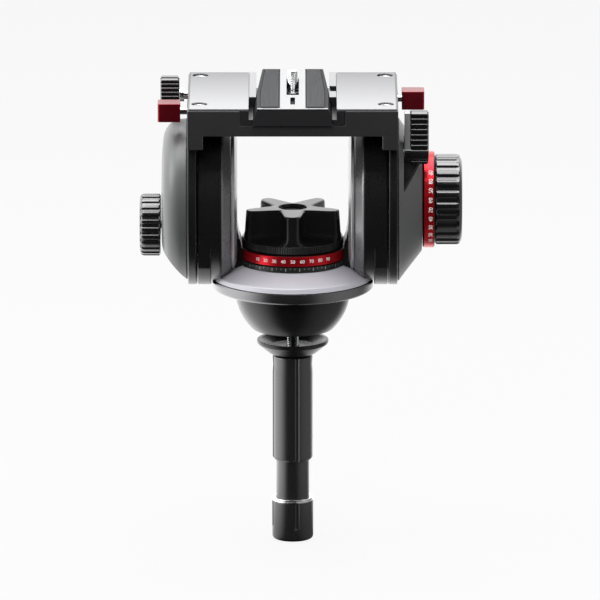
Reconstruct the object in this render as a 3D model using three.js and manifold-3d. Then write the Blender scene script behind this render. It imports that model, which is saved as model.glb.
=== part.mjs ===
// A fluid video head on a half ball, in millimetres, +Z up.
// The origin is the centre of the half ball, on the underside of the base flange.
// The front of the head faces -Y, and the large tilt drag knob is on the +X side.
import * as THREE from "three";
import { mergeVertices } from "three/addons/utils/BufferGeometryUtils.js";
import Module from "manifold-3d";

const wasm = await Module();
wasm.setup();

// Clearances
const seatGap = 0.3; // between pieces that are fixed to each other
const runGap = 0.6; // between pieces that move past each other
const overrun = 6; // how far a cutting tool passes the face that it opens

// Half ball
const ballRadius = 50;
const ballDepth = 36;
const ballRoof = 12; // solid metal above the hollow
const ballHollowRadius = 29;
const ballBossRadius = 13;
const ballBossRecess = 6;
const ballSteps = 4;

// Spindle and tie-down stud
const spindleRadius = 10;
const spindleSink = 14; // how deep the spindle stands in the ball
const spindleTail = 1.5; // what shows above the nut
const studRadius = 5;
const studLength = 66;

// Clamp cup under the bowl
const bowlGap = 10; // room for the bowl's floor
const cupRise = 12;
const cupThickness = 6;
const cupRadius = 31;
const cupRim = 3;
const cupFloorRadius = 20;
const cupSlopeInset = 2;
const clampTravel = 6;

// Tie-down handle
const tubeRadius = 14.3;
const tubeWall = 3;
const gripWall = 2.5;
const gripLength = 94.5;
const gripWeb = 5; // between the stud's bore and the tube's bore
const gripChamfer = 2;
const fluteRadius = 2.6;
const fluteDepth = 1.5;
const gripFlutes = 4;
const fluteTurn = (-78 * Math.PI) / 180; // where the first flute lies, from +X
const knobFluteEnd = 10; // from the end knob's bottom up to its flutes
const extensionTravel = 28;
const neckLength = 36.4; // bare tube between the grip and the end knob
const endRingRadius = 18;
const endRingHeight = 3;
const endKnobRadius = 17.8;
const endKnobLength = 34.2;
const endKnobRound = 7;
const endKnobRoundSteps = 3;

// Base flange with the hub that the pan lock presses on
const flangeRadius = 69.7;
const flangeRim = 8.6;
const flangeChamfer = 1.8;
const flangeShoulder = 69.1;
const flangeThickness = 9.2;
const brakeHubRadius = 24;
const brakeHubHeight = 6.8;
const bearingThickness = 4;

// Rotating pan housing: a cone, a floor inside it and a neck
const coneRadius = 69;
const coneEdge = 4.9; // height of the upright rim below the cone
const coneEdgeInset = 0.6;
const coneHeight = 13;
const coneTopRadius = 46.5;
const housingFloor = 7.2;
const ringWidth = 15.5; // from the neck to the outside of the pan rings
const neckWall = 4;
const neckHeight = 20.5;
const rotorThickness = 8;
const nutRadius = 16;
const nutThickness = 5;
const nutSides = 6;

// Pan scale, pan drag ring and star knob
const scaleRingHeight = 4.7;
const panRingHeight = 9.5;
const starSkirtInset = 2.5;
const starRoof = 1.3; // skirt over the hollow, at the rim
const starRise = 2; // from the skirt's rim to the hub
const starHubRadius = 17.5;
const starLobeHeight = 26;
const starLobeLean = 2.6; // how far a lobe's tip leans in on its way up
const starLobeRound = 2.6;
const starLobes = 5;
const starStepsPerLobe = 24;
const starFlankShare = 0.262; // of the skirt's radius
const starNarrowShare = 0.11; // a lobe's side, outwards
const starRecessRadius = 12;
const starRecessDepth = 3;

// Pan lock and spirit level at the back
const panLockHubRadius = 4.6;
const panLockHubLength = 5;
const panLockScrewRadius = 2.6;
const panLockArmLength = 34;
const panLockArmThickness = 8;
const panLockArmTip = 3.2; // half width at the tip
const levelRadius = 7.6;
const levelAngle = (22 * Math.PI) / 180; // away from the back, towards -X
const levelFloor = 2.2; // cone metal under the level
const levelHeight = 13;
const levelWall = 1.8;
const vialHeight = 4;

// Uprights with their pale inner caps
const ringClearance = 1.5; // between the pan rings and the inner caps
const capDepth = 4.7;
const capRadius = 60;
const capDome = 2.5;
const capDomeWidth = 6;
const capFootWidth = 34;
const capFootReach = 6; // how far the foot stands out from the cap
const capFootRise = 13; // height of the foot's edge above the cone
const capFootHeight = 39;
const uprightRadius = 69.5;
const uprightWidth = 29;
const uprightChamfer = 2;
const uprightRound = 9; // rounding of the drum's inner edge
const uprightRoundSteps = 3;
const uprightWeb = 4;
const uprightWall = 21.5; // of the drum, from its hollow to its outside
const rimSpread = 50; // degrees, of the lower rim to each side of straight down
const uprightBossRadius = 20;
const footClearance = 8.5; // from the lowest point of the drums down to the flange's underside

// Tilt axles, bearings and cradle arms
const axleRadius = 12;
const axleEndRadius = 8;
const axleEndLength = 13;
const armThickness = 7.9;
const armProud = 4; // how far the arm's round end stands out past the upright
const armTopHalf = 52;
const bearingBoreRadius = 22;
const bearingInset = 0.5;

// Deck
const deckClearance = 2.5; // between the uprights and the deck
const deckLength = 150;
const deckThickness = 22.5;
const deckFloor = 10;
const skirtWidth = 13.5;
const skirtLength = 16.5;
const skirtDrop = 12;
const panelThickness = 1.2;
const panelInset = 1;
const screwInset = 10.5; // from the deck's side to a screw
const screwFrontInset = 22;
const screwBackInset = 13;
const screwHeadRadius = 5.5;
const screwHeadHeight = 3;
const screwShankRadius = 2.5;
const screwShankLength = 9;
const screwSocketRadius = 2;
const screwSocketDepth = 1.5;
const panelHoleRadius = 7;

// Camera plate, its pads and its screw
const plateLength = 160;
const plateThickness = 15;
const plateTopHalf = 30.5;
const plateBottomHalf = 34.5;
const plateTaperLength = 95;
const plateTaper = 4.5;
const plateSlotHalf = 5.3;
const plateSlotFront = -24;
const plateSlotBack = 42;
const washerHalf = 10.2;
const washerLength = 18;
const washerThickness = 1.6;
const washerEndRoom = 10; // how far the washer's channel runs past the slot
const plateChannelDepth = 7;
const markSlotHalf = 2;
const markSlotFront = -62;
const markSlotBack = -34;
const markSlotDepth = 3;
const padInner = 11.4;
const padOuter = 27.7;
const padEndInset = 5;
const padThickness = 1.6;
const padSink = 0.6;
const padTaper = 3.4;
const cameraScrewY = 32;
const cameraScrewRadius = 4.76;
const cameraScrewHeadRadius = 8.5;
const cameraScrewHeadHeight = 4;
const cameraScrewProud = 9; // thread above the plate

// Plate rails and the jaw that clamps the plate
const railTopWidth = 6;
const railLedge = 7; // width of the ledge under the deck panel
const notchLength = 50;
const notchDepth = 9;
const rearNotchY = 8.5;
const rearNotchLength = 21;
const jawY = 37;
const jawLength = 42;
const jawHeight = 9.4;
const jawTravel = 1;
const jawWall = 0.5;

// Plate lock lever on the left side of the deck
const lockStemRadius = 4;
const lockHeight = 2; // stem above the channel's floor
const lockBarGap = 7.5; // from the deck's side to the bar
const lockBarWidth = 16.5;
const lockBarLength = 33;
const lockBarThickness = 12;
const lockRibs = 9;
const barRibShare = 0.1; // depth of a bar's ribs, of its thickness

// Red release tabs
const tabLength = 19;
const tabHeight = 16;
const tabWidth = 19.5;
const tabChamfer = 2.5;
const tabStemRadius = 3;
const tabStemLength = 30;
const tabTravel = 3;
const tabGap = 0.7; // left between tab and deck at full travel
const leftTabStandOff = 2.5; // the left tab stands further out than the right one
const leftTabY = -26.5;
const rightTabY = 23;

// Left side cover, its spring and the counterbalance knob
const coverWall = 3;
const leftCoverRadius = 70;
const leftCoverDepth = 22.6;
const leftCoverDepthShares = [0, 0.23, 0.495, 0.717, 0.885, 1];
const leftCoverRadiusShares = [1, 0.986, 0.943, 0.871, 0.729, 0.4];
const leftSlopeTopX = 16.2; // slanted lower face, as depths from the cover's rim
const leftSlopeTopZ = -42;
const leftSlopeBottomZ = -65;
const gearModule = 1.875;
const pinionTeeth = 8;
const gearTeeth = 16;
const gearThickness = 5;
const toothThinning = 0.25;
const toothRootShare = 1.25; // depth below the pitch circle, of the module
const springTurns = 4;
const springStepsPerTurn = 11;
const springThickness = 1.2;
const springWidth = 5;
const springOuterRadius = 43;
const arborRadius = 11.5;
const springCupFloor = 2;
const springCupWall = 3;
const knobShaftRadius = 3.5;
const balanceKnobRadius = 27;
const balanceKnobLength = 18.4;
const balanceKnobRibs = 24;
const knobRibDepth = 1.3;
const knobChamfer = 2.5;

// Right side cover with the pocket for the tilt lock lever
const rightCoverRadius = 70.5;
const rightCoverDepth = 20.8;
const rightCoverEndRadius = 44;
const rightCoverDepthShares = [0, 0.106, 0.519, 0.933, 1];
const rightCoverRadiusShares = [1, 0.905, 0.49, 0.076, 0];
const rightCoverMouthRadius = 20;
const pocketWall = 2.5;
const pocketFloorDepth = 4.7; // depth of the pocket's flat side from the cover's rim
const pocketBottomZ = 19.5;
const pocketSlopeRise = 22.5;
const pocketSlopeRun = 17;
const lockLeverY = -34;
const lockLeverZ = 47.8;
const lockHubRadius = 7;
const lockHubLength = 20.9;
const lockGripWidth = 16.3;
const lockPlateHalf = 5; // the metal plate that carries the grip
const lockPlateInset = 1;
const lockGripThickness = 12;
const lockGripBelow = 8.4;
const lockGripAbove = 38.1;
const lockGripRibs = 10;
const lockLeverStemRadius = 4;
const brakePadRadius = 7;

// Tilt drag
const cartridgeRadius = 25;
const cartridgeWall = 3.4;
const cartridgeLength = 14;
const cartridgeFloor = 2;
const tiltRotorThickness = 8;
const tiltRingRadius = 41.8;
const tiltRingWidth = 10.4;
const tiltRingChamfer = 1.2;
const spigotLength = 2.4;
const tiltKnobRadius = 39.2;
const tiltKnobLength = 23.3;
const tiltKnobRibs = 24;
const tiltKnobRecessRadius = 26;
const tiltKnobRecessDepth = 2;

// Smoothness of round pieces
const fineSides = 32;
const plainSides = 18;
const smallSides = 12;
const tinySides = 8;

// Heights of the pan stack, each seated on the one below
const spindleBottom = -spindleSink;
const studTop = spindleBottom - seatGap;
const studBottom = studTop - studLength;
const cupTop = -ballDepth - bowlGap;
const cupBase = cupTop - cupRise;
const gripTop = cupBase - runGap;
const gripBottom = gripTop - gripLength;
const studBoreBottom = studBottom - clampTravel - runGap;
const tubeBoreTop = studBoreBottom - gripWeb;
const tubeTop = tubeBoreTop - extensionTravel - runGap;
const tubeBottom = gripBottom - neckLength;
const gripRadius = tubeRadius + runGap + gripWall;
const housingBase = flangeThickness + runGap;
const brakeHubTop = flangeThickness + brakeHubHeight;
const thrustBase = brakeHubTop + seatGap;
const floorBase = thrustBase + bearingThickness + seatGap;
const floorTop = floorBase + housingFloor;
const coneTop = housingBase + coneHeight;
const neckTop = coneTop + neckHeight;
const neckRadius = coneTopRadius - ringWidth;
const neckBoreRadius = neckRadius - neckWall;
const rotorBase = floorTop + runGap;
const nutBase = rotorBase + rotorThickness + seatGap;
const spindleTop = nutBase + nutThickness + spindleTail;
const scaleRingBase = coneTop + seatGap;
const panRingBase = scaleRingBase + scaleRingHeight + runGap;
const starBase = panRingBase + panRingHeight + seatGap;
const starSkirtRadius = coneTopRadius - starSkirtInset;
const starHollowTop = Math.max(neckTop, spindleTop) + runGap;
const starSkirtTop = starHollowTop + starRoof;
const starTop = starSkirtTop + starLobeHeight;

// Places across the head, from the pan rings outwards
const capFace = coneTopRadius + ringClearance;
const capBack = capFace + capDepth;
const uprightInner = capBack + seatGap;
const uprightOuter = uprightInner + uprightWidth;
const armInner = uprightOuter + runGap;
const armOuter = armInner + armThickness;
const coverRim = armOuter + seatGap;

// Places above and below the tilt axis
const tiltHeight = uprightRadius + footClearance;
const uprightHollowRadius = uprightRadius - uprightWall;
const armRadius = uprightRadius + armProud;
const deckBase = uprightRadius + deckClearance;
const channelFloor = deckBase + deckFloor;
const deckTop = deckBase + deckThickness;
const panelTop = deckTop + seatGap + panelThickness;
const deckFront = -deckLength / 2;
const deckBack = deckLength / 2;

// Places above the floor of the plate's channel
const plateBase = runGap;
const plateTop = plateBase + plateThickness;
const railBase = seatGap;
const railStepTop = deckTop - channelFloor;
const railTop = panelTop - channelFloor;
const railInnerTop = plateHalfAt(railTop) + runGap;
const railLip = railInnerTop + railTopWidth;
const railOuter = railLip + railLedge;
const channelHalf = railOuter + seatGap;

// Half width of the camera plate's dovetail at a height above the channel's floor.
function plateHalfAt(height) {
  const share = (height - plateBase) / plateThickness;
  return plateBottomHalf + (plateTopHalf - plateBottomHalf) * share;
}

// A closed surface as a solid: shared corners are merged, and faces without area are dropped.
function toSolid(shape) {
  if (!shape.isBufferGeometry) return shape;
  const bare = new THREE.BufferGeometry();
  bare.setAttribute("position", shape.getAttribute("position"));
  bare.setIndex(shape.getIndex());
  const merged = mergeVertices(bare);
  const corners = merged.getIndex().array;
  const faces = [];
  for (let i = 0; i < corners.length; i += 3) {
    const [a, b, c] = corners.slice(i, i + 3);
    if (a !== b && b !== c && c !== a) faces.push(a, b, c);
  }
  const vertProperties = merged.getAttribute("position").array;
  const triVerts = new Uint32Array(faces);
  return new wasm.Manifold(new wasm.Mesh({ numProp: 3, vertProperties, triVerts }));
}

function cut(body, ...tools) {
  return tools.reduce((rest, tool) => rest.subtract(toSolid(tool)), toSolid(body));
}

function join(first, ...others) {
  return others.reduce((whole, other) => whole.add(toSolid(other)), toSolid(first));
}

function common(first, second) {
  return toSolid(first).intersect(toSolid(second));
}

// A named mesh from a solid or a geometry.
function mesh(name, shape, material) {
  const data = toSolid(shape).getMesh();
  const geometry = new THREE.BufferGeometry();
  const places = new Float32Array(data.vertProperties);
  geometry.setAttribute("position", new THREE.BufferAttribute(places, data.numProp));
  geometry.setIndex(new THREE.BufferAttribute(new Uint32Array(data.triVerts), 1));
  geometry.computeVertexNormals();
  const made = new THREE.Mesh(geometry, material);
  made.name = name;
  return made;
}

function mirrored(made) {
  made.scale.x = -1;
  return made;
}

function group(height, ...members) {
  const made = new THREE.Group();
  made.position.z = height;
  made.add(...members);
  return made;
}

// An outline of [radius, height] points turned round the Y axis, then laid along an axis.
function turned(outline, sides, axis = "z") {
  const area = outline.reduce((sum, [r, h], i) => {
    const [nextR, nextH] = outline[(i + 1) % outline.length];
    return sum + r * nextH - nextR * h;
  }, 0);
  const ordered = area > 0 ? [...outline] : [...outline].reverse();
  const start = ordered.findIndex(([r]) => r === 0);
  const offAxis = start < 0;
  const lastOnAxis = !offAxis && ordered[(start + ordered.length - 1) % ordered.length][0] === 0;
  const shift = offAxis ? 0 : lastOnAxis ? start : (start + 1) % ordered.length;
  const loop = [...ordered.slice(shift), ...ordered.slice(0, shift)];
  if (offAxis) loop.push(loop[0]);
  const points = loop.map(([r, h]) => new THREE.Vector2(r, h));
  const geometry = new THREE.LatheGeometry(points, sides);
  if (axis === "z") geometry.rotateX(Math.PI / 2);
  if (axis === "x") geometry.rotateZ(-Math.PI / 2);
  return geometry;
}

function shapeOf(outline) {
  return new THREE.Shape(outline.map(([a, b]) => new THREE.Vector2(a, b)));
}

// Prisms of an outline between two places on an axis.
function prismX(outline, from, to) {
  const solid = new THREE.ExtrudeGeometry(shapeOf(outline), { depth: to - from, bevelEnabled: false });
  const lay = new THREE.Matrix4().makeBasis(
    new THREE.Vector3(0, 1, 0),
    new THREE.Vector3(0, 0, 1),
    new THREE.Vector3(1, 0, 0),
  );
  return solid.applyMatrix4(lay).translate(from, 0, 0);
}

function prismY(outline, from, to) {
  const solid = new THREE.ExtrudeGeometry(shapeOf(outline), { depth: to - from, bevelEnabled: false });
  return solid.rotateX(Math.PI / 2).translate(0, to, 0);
}

function prismZ(outline, from, to) {
  const solid = new THREE.ExtrudeGeometry(shapeOf(outline), { depth: to - from, bevelEnabled: false });
  return solid.translate(0, 0, from);
}

function block([x0, x1], [y0, y1], [z0, z1]) {
  const box = new THREE.BoxGeometry(x1 - x0, y1 - y0, z1 - z0);
  return box.translate((x0 + x1) / 2, (y0 + y1) / 2, (z0 + z1) / 2);
}

// A plain round bar along an axis, between two places on it.
function bar(axis, radius, from, to, sides = smallSides) {
  return turned([[0, from], [radius, from], [radius, to], [0, to]], sides, axis);
}

// A washer or tube along an axis.
function tube(axis, inner, outer, from, to, sides = plainSides) {
  return turned([[inner, from], [outer, from], [outer, to], [inner, to]], sides, axis);
}

// Points of a circle's arc, angles in radians.
function arc(radius, from, to, steps) {
  return Array.from({ length: steps + 1 }, (_, i) => {
    const angle = from + ((to - from) * i) / steps;
    return [radius * Math.cos(angle), radius * Math.sin(angle)];
  });
}

// A round outline with raised ribs, each a trapezium that takes half of the pitch at its foot.
function ribbedOutline(radius, depth, ribs) {
  const stepShares = [0, 0.18, 0.5, 0.68];
  const pitch = (2 * Math.PI) / ribs;
  const points = [];
  for (let i = 0; i < ribs; i += 1) {
    stepShares.forEach((share, corner) => {
      const angle = (i + share) * pitch;
      const reach = corner === 1 || corner === 2 ? radius : radius - depth;
      points.push([reach * Math.cos(angle), reach * Math.sin(angle)]);
    });
  }
  return points;
}

// A bar's outline, upright, with ribs on both of its long sides.
function ribbedBarOutline(thickness, bottom, top, ribs) {
  const ribShares = [0, 0.12, 0.52, 0.64];
  const depth = thickness * barRibShare;
  const pitch = (top - bottom) / ribs;
  const side = [];
  for (let i = 0; i < ribs; i += 1) {
    ribShares.forEach((share, corner) => {
      const reach = corner === 1 || corner === 2 ? thickness / 2 : thickness / 2 - depth;
      side.push([reach, bottom + (i + share) * pitch]);
    });
  }
  side.push([thickness / 2 - depth, top]);
  return [...side, ...side.map(([y, z]) => [-y, z]).reverse()];
}

function moved(outline, across, up) {
  return outline.map(([a, b]) => [a + across, b + up]);
}

// A toothed wheel's outline. The teeth are thinned for free running.
function gearOutline(teeth, turn) {
  const pitchRadius = (gearModule * teeth) / 2;
  const root = pitchRadius - gearModule * toothRootShare;
  const tip = pitchRadius + gearModule;
  const thinning = toothThinning / pitchRadius;
  const toothShares = [-0.36, -0.14, 0.14, 0.36];
  const points = [];
  for (let i = 0; i < teeth; i += 1) {
    toothShares.forEach((share, corner) => {
      const angle = turn + ((i + share) * 2 * Math.PI) / teeth - Math.sign(share) * thinning;
      const reach = corner === 1 || corner === 2 ? tip : root;
      points.push([reach * Math.cos(angle), reach * Math.sin(angle)]);
    });
  }
  return points;
}

// Materials
const finish = (color, roughness, metalness) =>
  new THREE.MeshStandardMaterial({ color, roughness, metalness, flatShading: true });
const paleMetal = finish(0xb4b6b7, 0.42, 0.5);
const panelMetal = finish(0xc4c6c8, 0.4, 0.5);
const blackPaint = finish(0x1b1b1d, 0.45, 0.1);
const darkMetal = finish(0x3c3d40, 0.4, 0.5);
const redMetal = finish(0xb01520, 0.35, 0.4);
const blackRubber = finish(0x18181a, 0.75, 0);
const greyRubber = finish(0x6c6e70, 0.85, 0);
const silver = finish(0xc9cacc, 0.3, 1);
const steel = finish(0x9b9ea2, 0.35, 1);
const bronze = finish(0xa07b45, 0.4, 1);
const clearGlass = finish(0xcfe3b5, 0.1, 0);

// Fixed base: ball, flange, spindle and stud
function halfBall() {
  const rimAngle = -Math.asin(ballDepth / ballRadius);
  const topAngle = -Math.asin(seatGap / ballRadius);
  const bossBottom = -ballDepth + ballBossRecess;
  return turned(
    [
      ...arc(ballRadius, topAngle, rimAngle, ballSteps),
      [ballHollowRadius, -ballDepth],
      [ballHollowRadius, -ballRoof],
      [ballBossRadius, -ballRoof],
      [ballBossRadius, bossBottom],
      [studRadius + seatGap, bossBottom],
      [studRadius + seatGap, studTop],
      [spindleRadius + seatGap, studTop],
      [spindleRadius + seatGap, -seatGap],
    ],
    fineSides,
  );
}

function baseFlange() {
  const bore = spindleRadius + seatGap;
  return turned(
    [
      [bore, 0],
      [flangeRadius - flangeChamfer, 0],
      [flangeRadius, flangeChamfer],
      [flangeRadius, flangeRim],
      [flangeShoulder, flangeThickness],
      [brakeHubRadius, flangeThickness],
      [brakeHubRadius, brakeHubTop],
      [bore, brakeHubTop],
    ],
    fineSides,
  );
}

function spindleNut() {
  const hex = arc(nutRadius, 0, 2 * Math.PI, nutSides).slice(0, nutSides);
  const top = nutBase + nutThickness;
  const bore = bar("z", spindleRadius + seatGap, nutBase - overrun, top + overrun, plainSides);
  return cut(prismZ(hex, nutBase, top), bore);
}

function fixedBase() {
  const bore = spindleRadius + seatGap;
  const rotorTop = rotorBase + rotorThickness;
  const thrustTop = thrustBase + bearingThickness;
  const spindle = bar("z", spindleRadius, spindleBottom, spindleTop, plainSides);
  return group(
    0,
    mesh("half_ball", halfBall(), blackPaint),
    mesh("base_flange", baseFlange(), darkMetal),
    mesh("pan_spindle", spindle, steel),
    mesh("thrust_bearing", tube("z", bore, brakeHubRadius, thrustBase, thrustTop), steel),
    mesh("pan_drag_rotor", tube("z", bore, neckBoreRadius - runGap, rotorBase, rotorTop), bronze),
    mesh("spindle_nut", spindleNut(), steel),
    mesh("tie_down_stud", bar("z", studRadius, studBottom, studTop), steel),
  );
}

// Clamp cup and tie-down handle under the ball
function tieDownCup() {
  const bore = studRadius + runGap;
  const floorTopZ = cupBase + cupThickness;
  return turned(
    [
      [bore, cupBase],
      [cupFloorRadius, cupBase],
      [cupRadius, cupTop - cupRim],
      [cupRadius, cupTop],
      [cupRadius - cupRim, cupTop],
      [cupFloorRadius - cupSlopeInset, floorTopZ],
      [bore, floorTopZ],
    ],
    plainSides,
  );
}

// A round grip with narrow flutes along it.
function fluted(body, radius, from, to) {
  const reach = radius + fluteRadius - fluteDepth;
  const flutes = Array.from({ length: gripFlutes }, (_, i) => {
    const angle = fluteTurn + (i * 2 * Math.PI) / gripFlutes;
    const flute = bar("z", fluteRadius, from, to);
    return flute.translate(reach * Math.cos(angle), reach * Math.sin(angle), 0);
  });
  return cut(body, ...flutes);
}

function tieDownGrip() {
  const body = turned(
    [
      [0, gripBottom],
      [gripRadius - gripChamfer, gripBottom],
      [gripRadius, gripBottom + gripChamfer],
      [gripRadius, gripTop - gripChamfer],
      [gripRadius - gripChamfer, gripTop],
      [0, gripTop],
    ],
    plainSides,
  );
  const studBore = bar("z", studRadius + runGap, studBoreBottom, gripTop + overrun);
  const tubeBore = bar("z", tubeRadius + runGap, gripBottom - overrun, tubeBoreTop, plainSides);
  return cut(fluted(body, gripRadius, gripBottom - overrun, gripTop + overrun), studBore, tubeBore);
}

function endKnob() {
  const top = tubeBottom - seatGap;
  const bottom = top - endKnobLength;
  const round = arc(endKnobRound, -Math.PI / 2, 0, endKnobRoundSteps);
  const body = turned(
    [
      [0, bottom],
      ...moved(round, endKnobRadius - endKnobRound, bottom + endKnobRound),
      [endKnobRadius, top],
      [0, top],
    ],
    plainSides,
  );
  return fluted(body, endKnobRadius, bottom + knobFluteEnd, top + overrun);
}

function tieDown() {
  const ringBore = tubeRadius + seatGap;
  const ringTop = tubeBottom + endRingHeight;
  const tubeBore = tubeRadius - tubeWall;
  return group(
    0,
    mesh("tie_down_cup", tieDownCup(), blackPaint),
    mesh("tie_down_grip", tieDownGrip(), blackRubber),
    mesh("extension_tube", tube("z", tubeBore, tubeRadius, tubeBottom, tubeTop), blackPaint),
    mesh("end_ring", tube("z", ringBore, endRingRadius, tubeBottom, ringTop), silver),
    mesh("end_knob", endKnob(), blackRubber),
  );
}

// Rotating pan housing and the rings round its neck
const panLockHeight = housingBase + panLockHubRadius;
const levelSeat = housingBase + levelFloor;
const levelReach = coneTopRadius + ringClearance / 2 + levelRadius;
const levelX = -levelReach * Math.sin(levelAngle);
const levelY = levelReach * Math.cos(levelAngle);

function panHousing() {
  const edgeTop = housingBase + coneEdge;
  const hollow = brakeHubRadius + runGap;
  const body = turned(
    [
      [hollow, housingBase],
      [coneRadius, housingBase],
      [coneRadius - coneEdgeInset, edgeTop],
      [coneTopRadius, coneTop],
      [neckRadius, coneTop],
      [neckRadius, neckTop],
      [neckBoreRadius, neckTop],
      [neckBoreRadius, floorTop],
      [spindleRadius + runGap, floorTop],
      [spindleRadius + runGap, floorBase],
      [hollow, floorBase],
    ],
    fineSides,
  );
  const lockBore = bar("y", panLockScrewRadius + runGap, 0, coneRadius + overrun);
  const levelPocket = bar("z", levelRadius + seatGap, levelSeat, coneTop + overrun);
  return cut(body, lockBore.translate(0, 0, panLockHeight), levelPocket.translate(levelX, levelY, 0));
}

function panLockLever() {
  const hubBase = coneRadius + runGap;
  const hubEnd = hubBase + panLockHubLength;
  const screw = bar("y", panLockScrewRadius, brakeHubRadius + runGap, hubBase + panLockHubLength / 2);
  const hub = bar("y", panLockHubRadius, hubBase, hubEnd);
  const armOutline = [
    ...arc(panLockHubRadius, Math.PI, 2 * Math.PI, tinySides),
    [panLockArmTip, panLockArmLength],
    [-panLockArmTip, panLockArmLength],
  ];
  const arm = prismY(armOutline, hubEnd - panLockArmThickness / 2, hubEnd + panLockArmThickness / 2);
  return join(screw, hub, arm);
}

function levelHousing() {
  const base = levelSeat + seatGap;
  const top = base + levelHeight;
  const cupBottom = top - vialHeight - seatGap;
  return turned(
    [
      [0, base],
      [levelRadius, base],
      [levelRadius, top],
      [levelRadius - levelWall, top],
      [levelRadius - levelWall, cupBottom],
      [0, cupBottom],
    ],
    smallSides,
  );
}

function levelVial() {
  const top = levelSeat + seatGap + levelHeight;
  return bar("z", levelRadius - levelWall - seatGap, top - vialHeight, top);
}

// Outline of the star: each lobe's sides narrow outwards from the hub, one lobe to the front.
function starOutline() {
  const outlineSteps = starStepsPerLobe * starLobes;
  const lobeTurn = (2 * Math.PI) / starLobes;
  return Array.from({ length: outlineSteps }, (_, i) => {
    const away = ((i % starStepsPerLobe) / starStepsPerLobe - 0.5) * lobeTurn;
    const slant = Math.sin(Math.abs(away)) + starNarrowShare * Math.cos(away);
    const side = (starSkirtRadius * starFlankShare) / slant;
    const reach = Math.min(starSkirtRadius, Math.max(side, starHubRadius));
    const angle = (i / starStepsPerLobe - 0.5) * lobeTurn - Math.PI / 2;
    return [reach * Math.cos(angle), reach * Math.sin(angle)];
  });
}

// Star knob: a skirt that rises to the hub, and lobes whose tips lean in on their way up.
function starKnob() {
  const hubFoot = starSkirtTop + starRise;
  const skirt = turned(
    [
      [0, starBase],
      [starSkirtRadius, starBase],
      [starSkirtRadius, starSkirtTop],
      [starHubRadius, hubFoot],
      [0, hubFoot],
    ],
    fineSides,
  );
  const tipFoot = starSkirtRadius - starLobeLean / 4;
  const tip = starSkirtRadius - starLobeLean;
  const rounded = turned(
    [
      [0, starHollowTop],
      [tipFoot, starHollowTop],
      [tip, starTop - starLobeRound],
      [tip - starLobeRound, starTop],
      [0, starTop],
    ],
    fineSides,
  );
  const lobes = common(prismZ(starOutline(), starHollowTop, starTop), rounded);
  const recess = bar("z", starRecessRadius, starTop - starRecessDepth, starTop + overrun, plainSides);
  const hollow = bar("z", neckRadius + runGap, starBase - overrun, starHollowTop, fineSides);
  return cut(join(skirt, lobes), recess, hollow);
}

function panStack() {
  const panLock = group(panLockHeight, mesh("pan_lock_lever", panLockLever(), blackRubber));
  const scaleTop = scaleRingBase + scaleRingHeight;
  const ringTop = panRingBase + panRingHeight;
  const scaleRing = tube("z", neckRadius + seatGap, coneTopRadius, scaleRingBase, scaleTop, fineSides);
  const dragRing = tube("z", neckRadius + runGap, coneTopRadius, panRingBase, ringTop, fineSides);
  const levelCup = mesh("level_housing", levelHousing(), blackPaint);
  const level = group(0, levelCup, mesh("level_vial", levelVial(), clearGlass));
  level.position.set(levelX, levelY, 0);
  return group(
    0,
    mesh("pan_housing", panHousing(), paleMetal),
    mesh("pan_scale_ring", scaleRing, darkMetal),
    mesh("pan_drag_ring", dragRing, redMetal),
    mesh("pan_drag_knob", starKnob(), blackRubber),
    panLock,
    level,
  );
}

// What the caps and drums leave free for the cone and the pan rings, seen from the tilt axis.
function panEnvelope() {
  const edgeTop = housingBase + coneEdge;
  const cone = turned(
    [
      [0, housingBase - overrun],
      [coneRadius + seatGap, housingBase - overrun],
      [coneRadius + seatGap, housingBase],
      [coneRadius - coneEdgeInset + seatGap, edgeTop + seatGap],
      [coneTopRadius + seatGap, coneTop + seatGap],
      [0, coneTop + seatGap],
    ],
    fineSides,
  );
  return cone.translate(0, 0, -tiltHeight);
}

function ringEnvelope() {
  const radius = coneTopRadius + ringClearance / 2;
  return bar("z", radius, coneTop - tiltHeight, starTop - tiltHeight, fineSides);
}

// Foot of an upright, which flares out on to the cone.
function uprightFoot(back, grow) {
  const top = coneTop + capFootHeight - tiltHeight + grow;
  const edge = coneTop + capFootRise - tiltHeight;
  const bottom = housingBase + coneEdge - tiltHeight;
  const half = capFootWidth / 2 + grow;
  return prismY(
    [
      [back, top],
      [capFace - grow, top],
      [capFace - capFootReach - grow, edge],
      [capFace - capFootReach - grow, bottom],
      [back, bottom],
    ],
    -half,
    half,
  );
}

// Pale inner cap of an upright, notched for the foot.
function innerCap() {
  const disc = turned(
    [
      [0, capFace],
      [capRadius - capDomeWidth, capFace],
      [capRadius, capFace + capDome],
      [capRadius, capBack],
      [0, capBack],
    ],
    fineSides,
    "x",
  );
  return cut(disc, uprightFoot(capBack + overrun, seatGap), panEnvelope(), ringEnvelope());
}

// Lower rim of an upright. Outside the flange it reaches as low as the cradle arm beside it.
function uprightRim() {
  const down = -Math.PI / 2;
  const spread = (rimSpread * Math.PI) / 180;
  const touch = spread + Math.acos(uprightRadius / armRadius);
  const onDrum = (angle) => [uprightRadius * Math.cos(angle), uprightRadius * Math.sin(angle)];
  const outline = [
    onDrum(down - touch),
    ...arc(armRadius, down - spread, down + spread, fineSides),
    onDrum(down + touch),
    ...arc(uprightRadius - uprightChamfer, down + touch, down - touch, fineSides),
  ];
  return prismX(outline, flangeRadius + runGap, uprightOuter);
}

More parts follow.
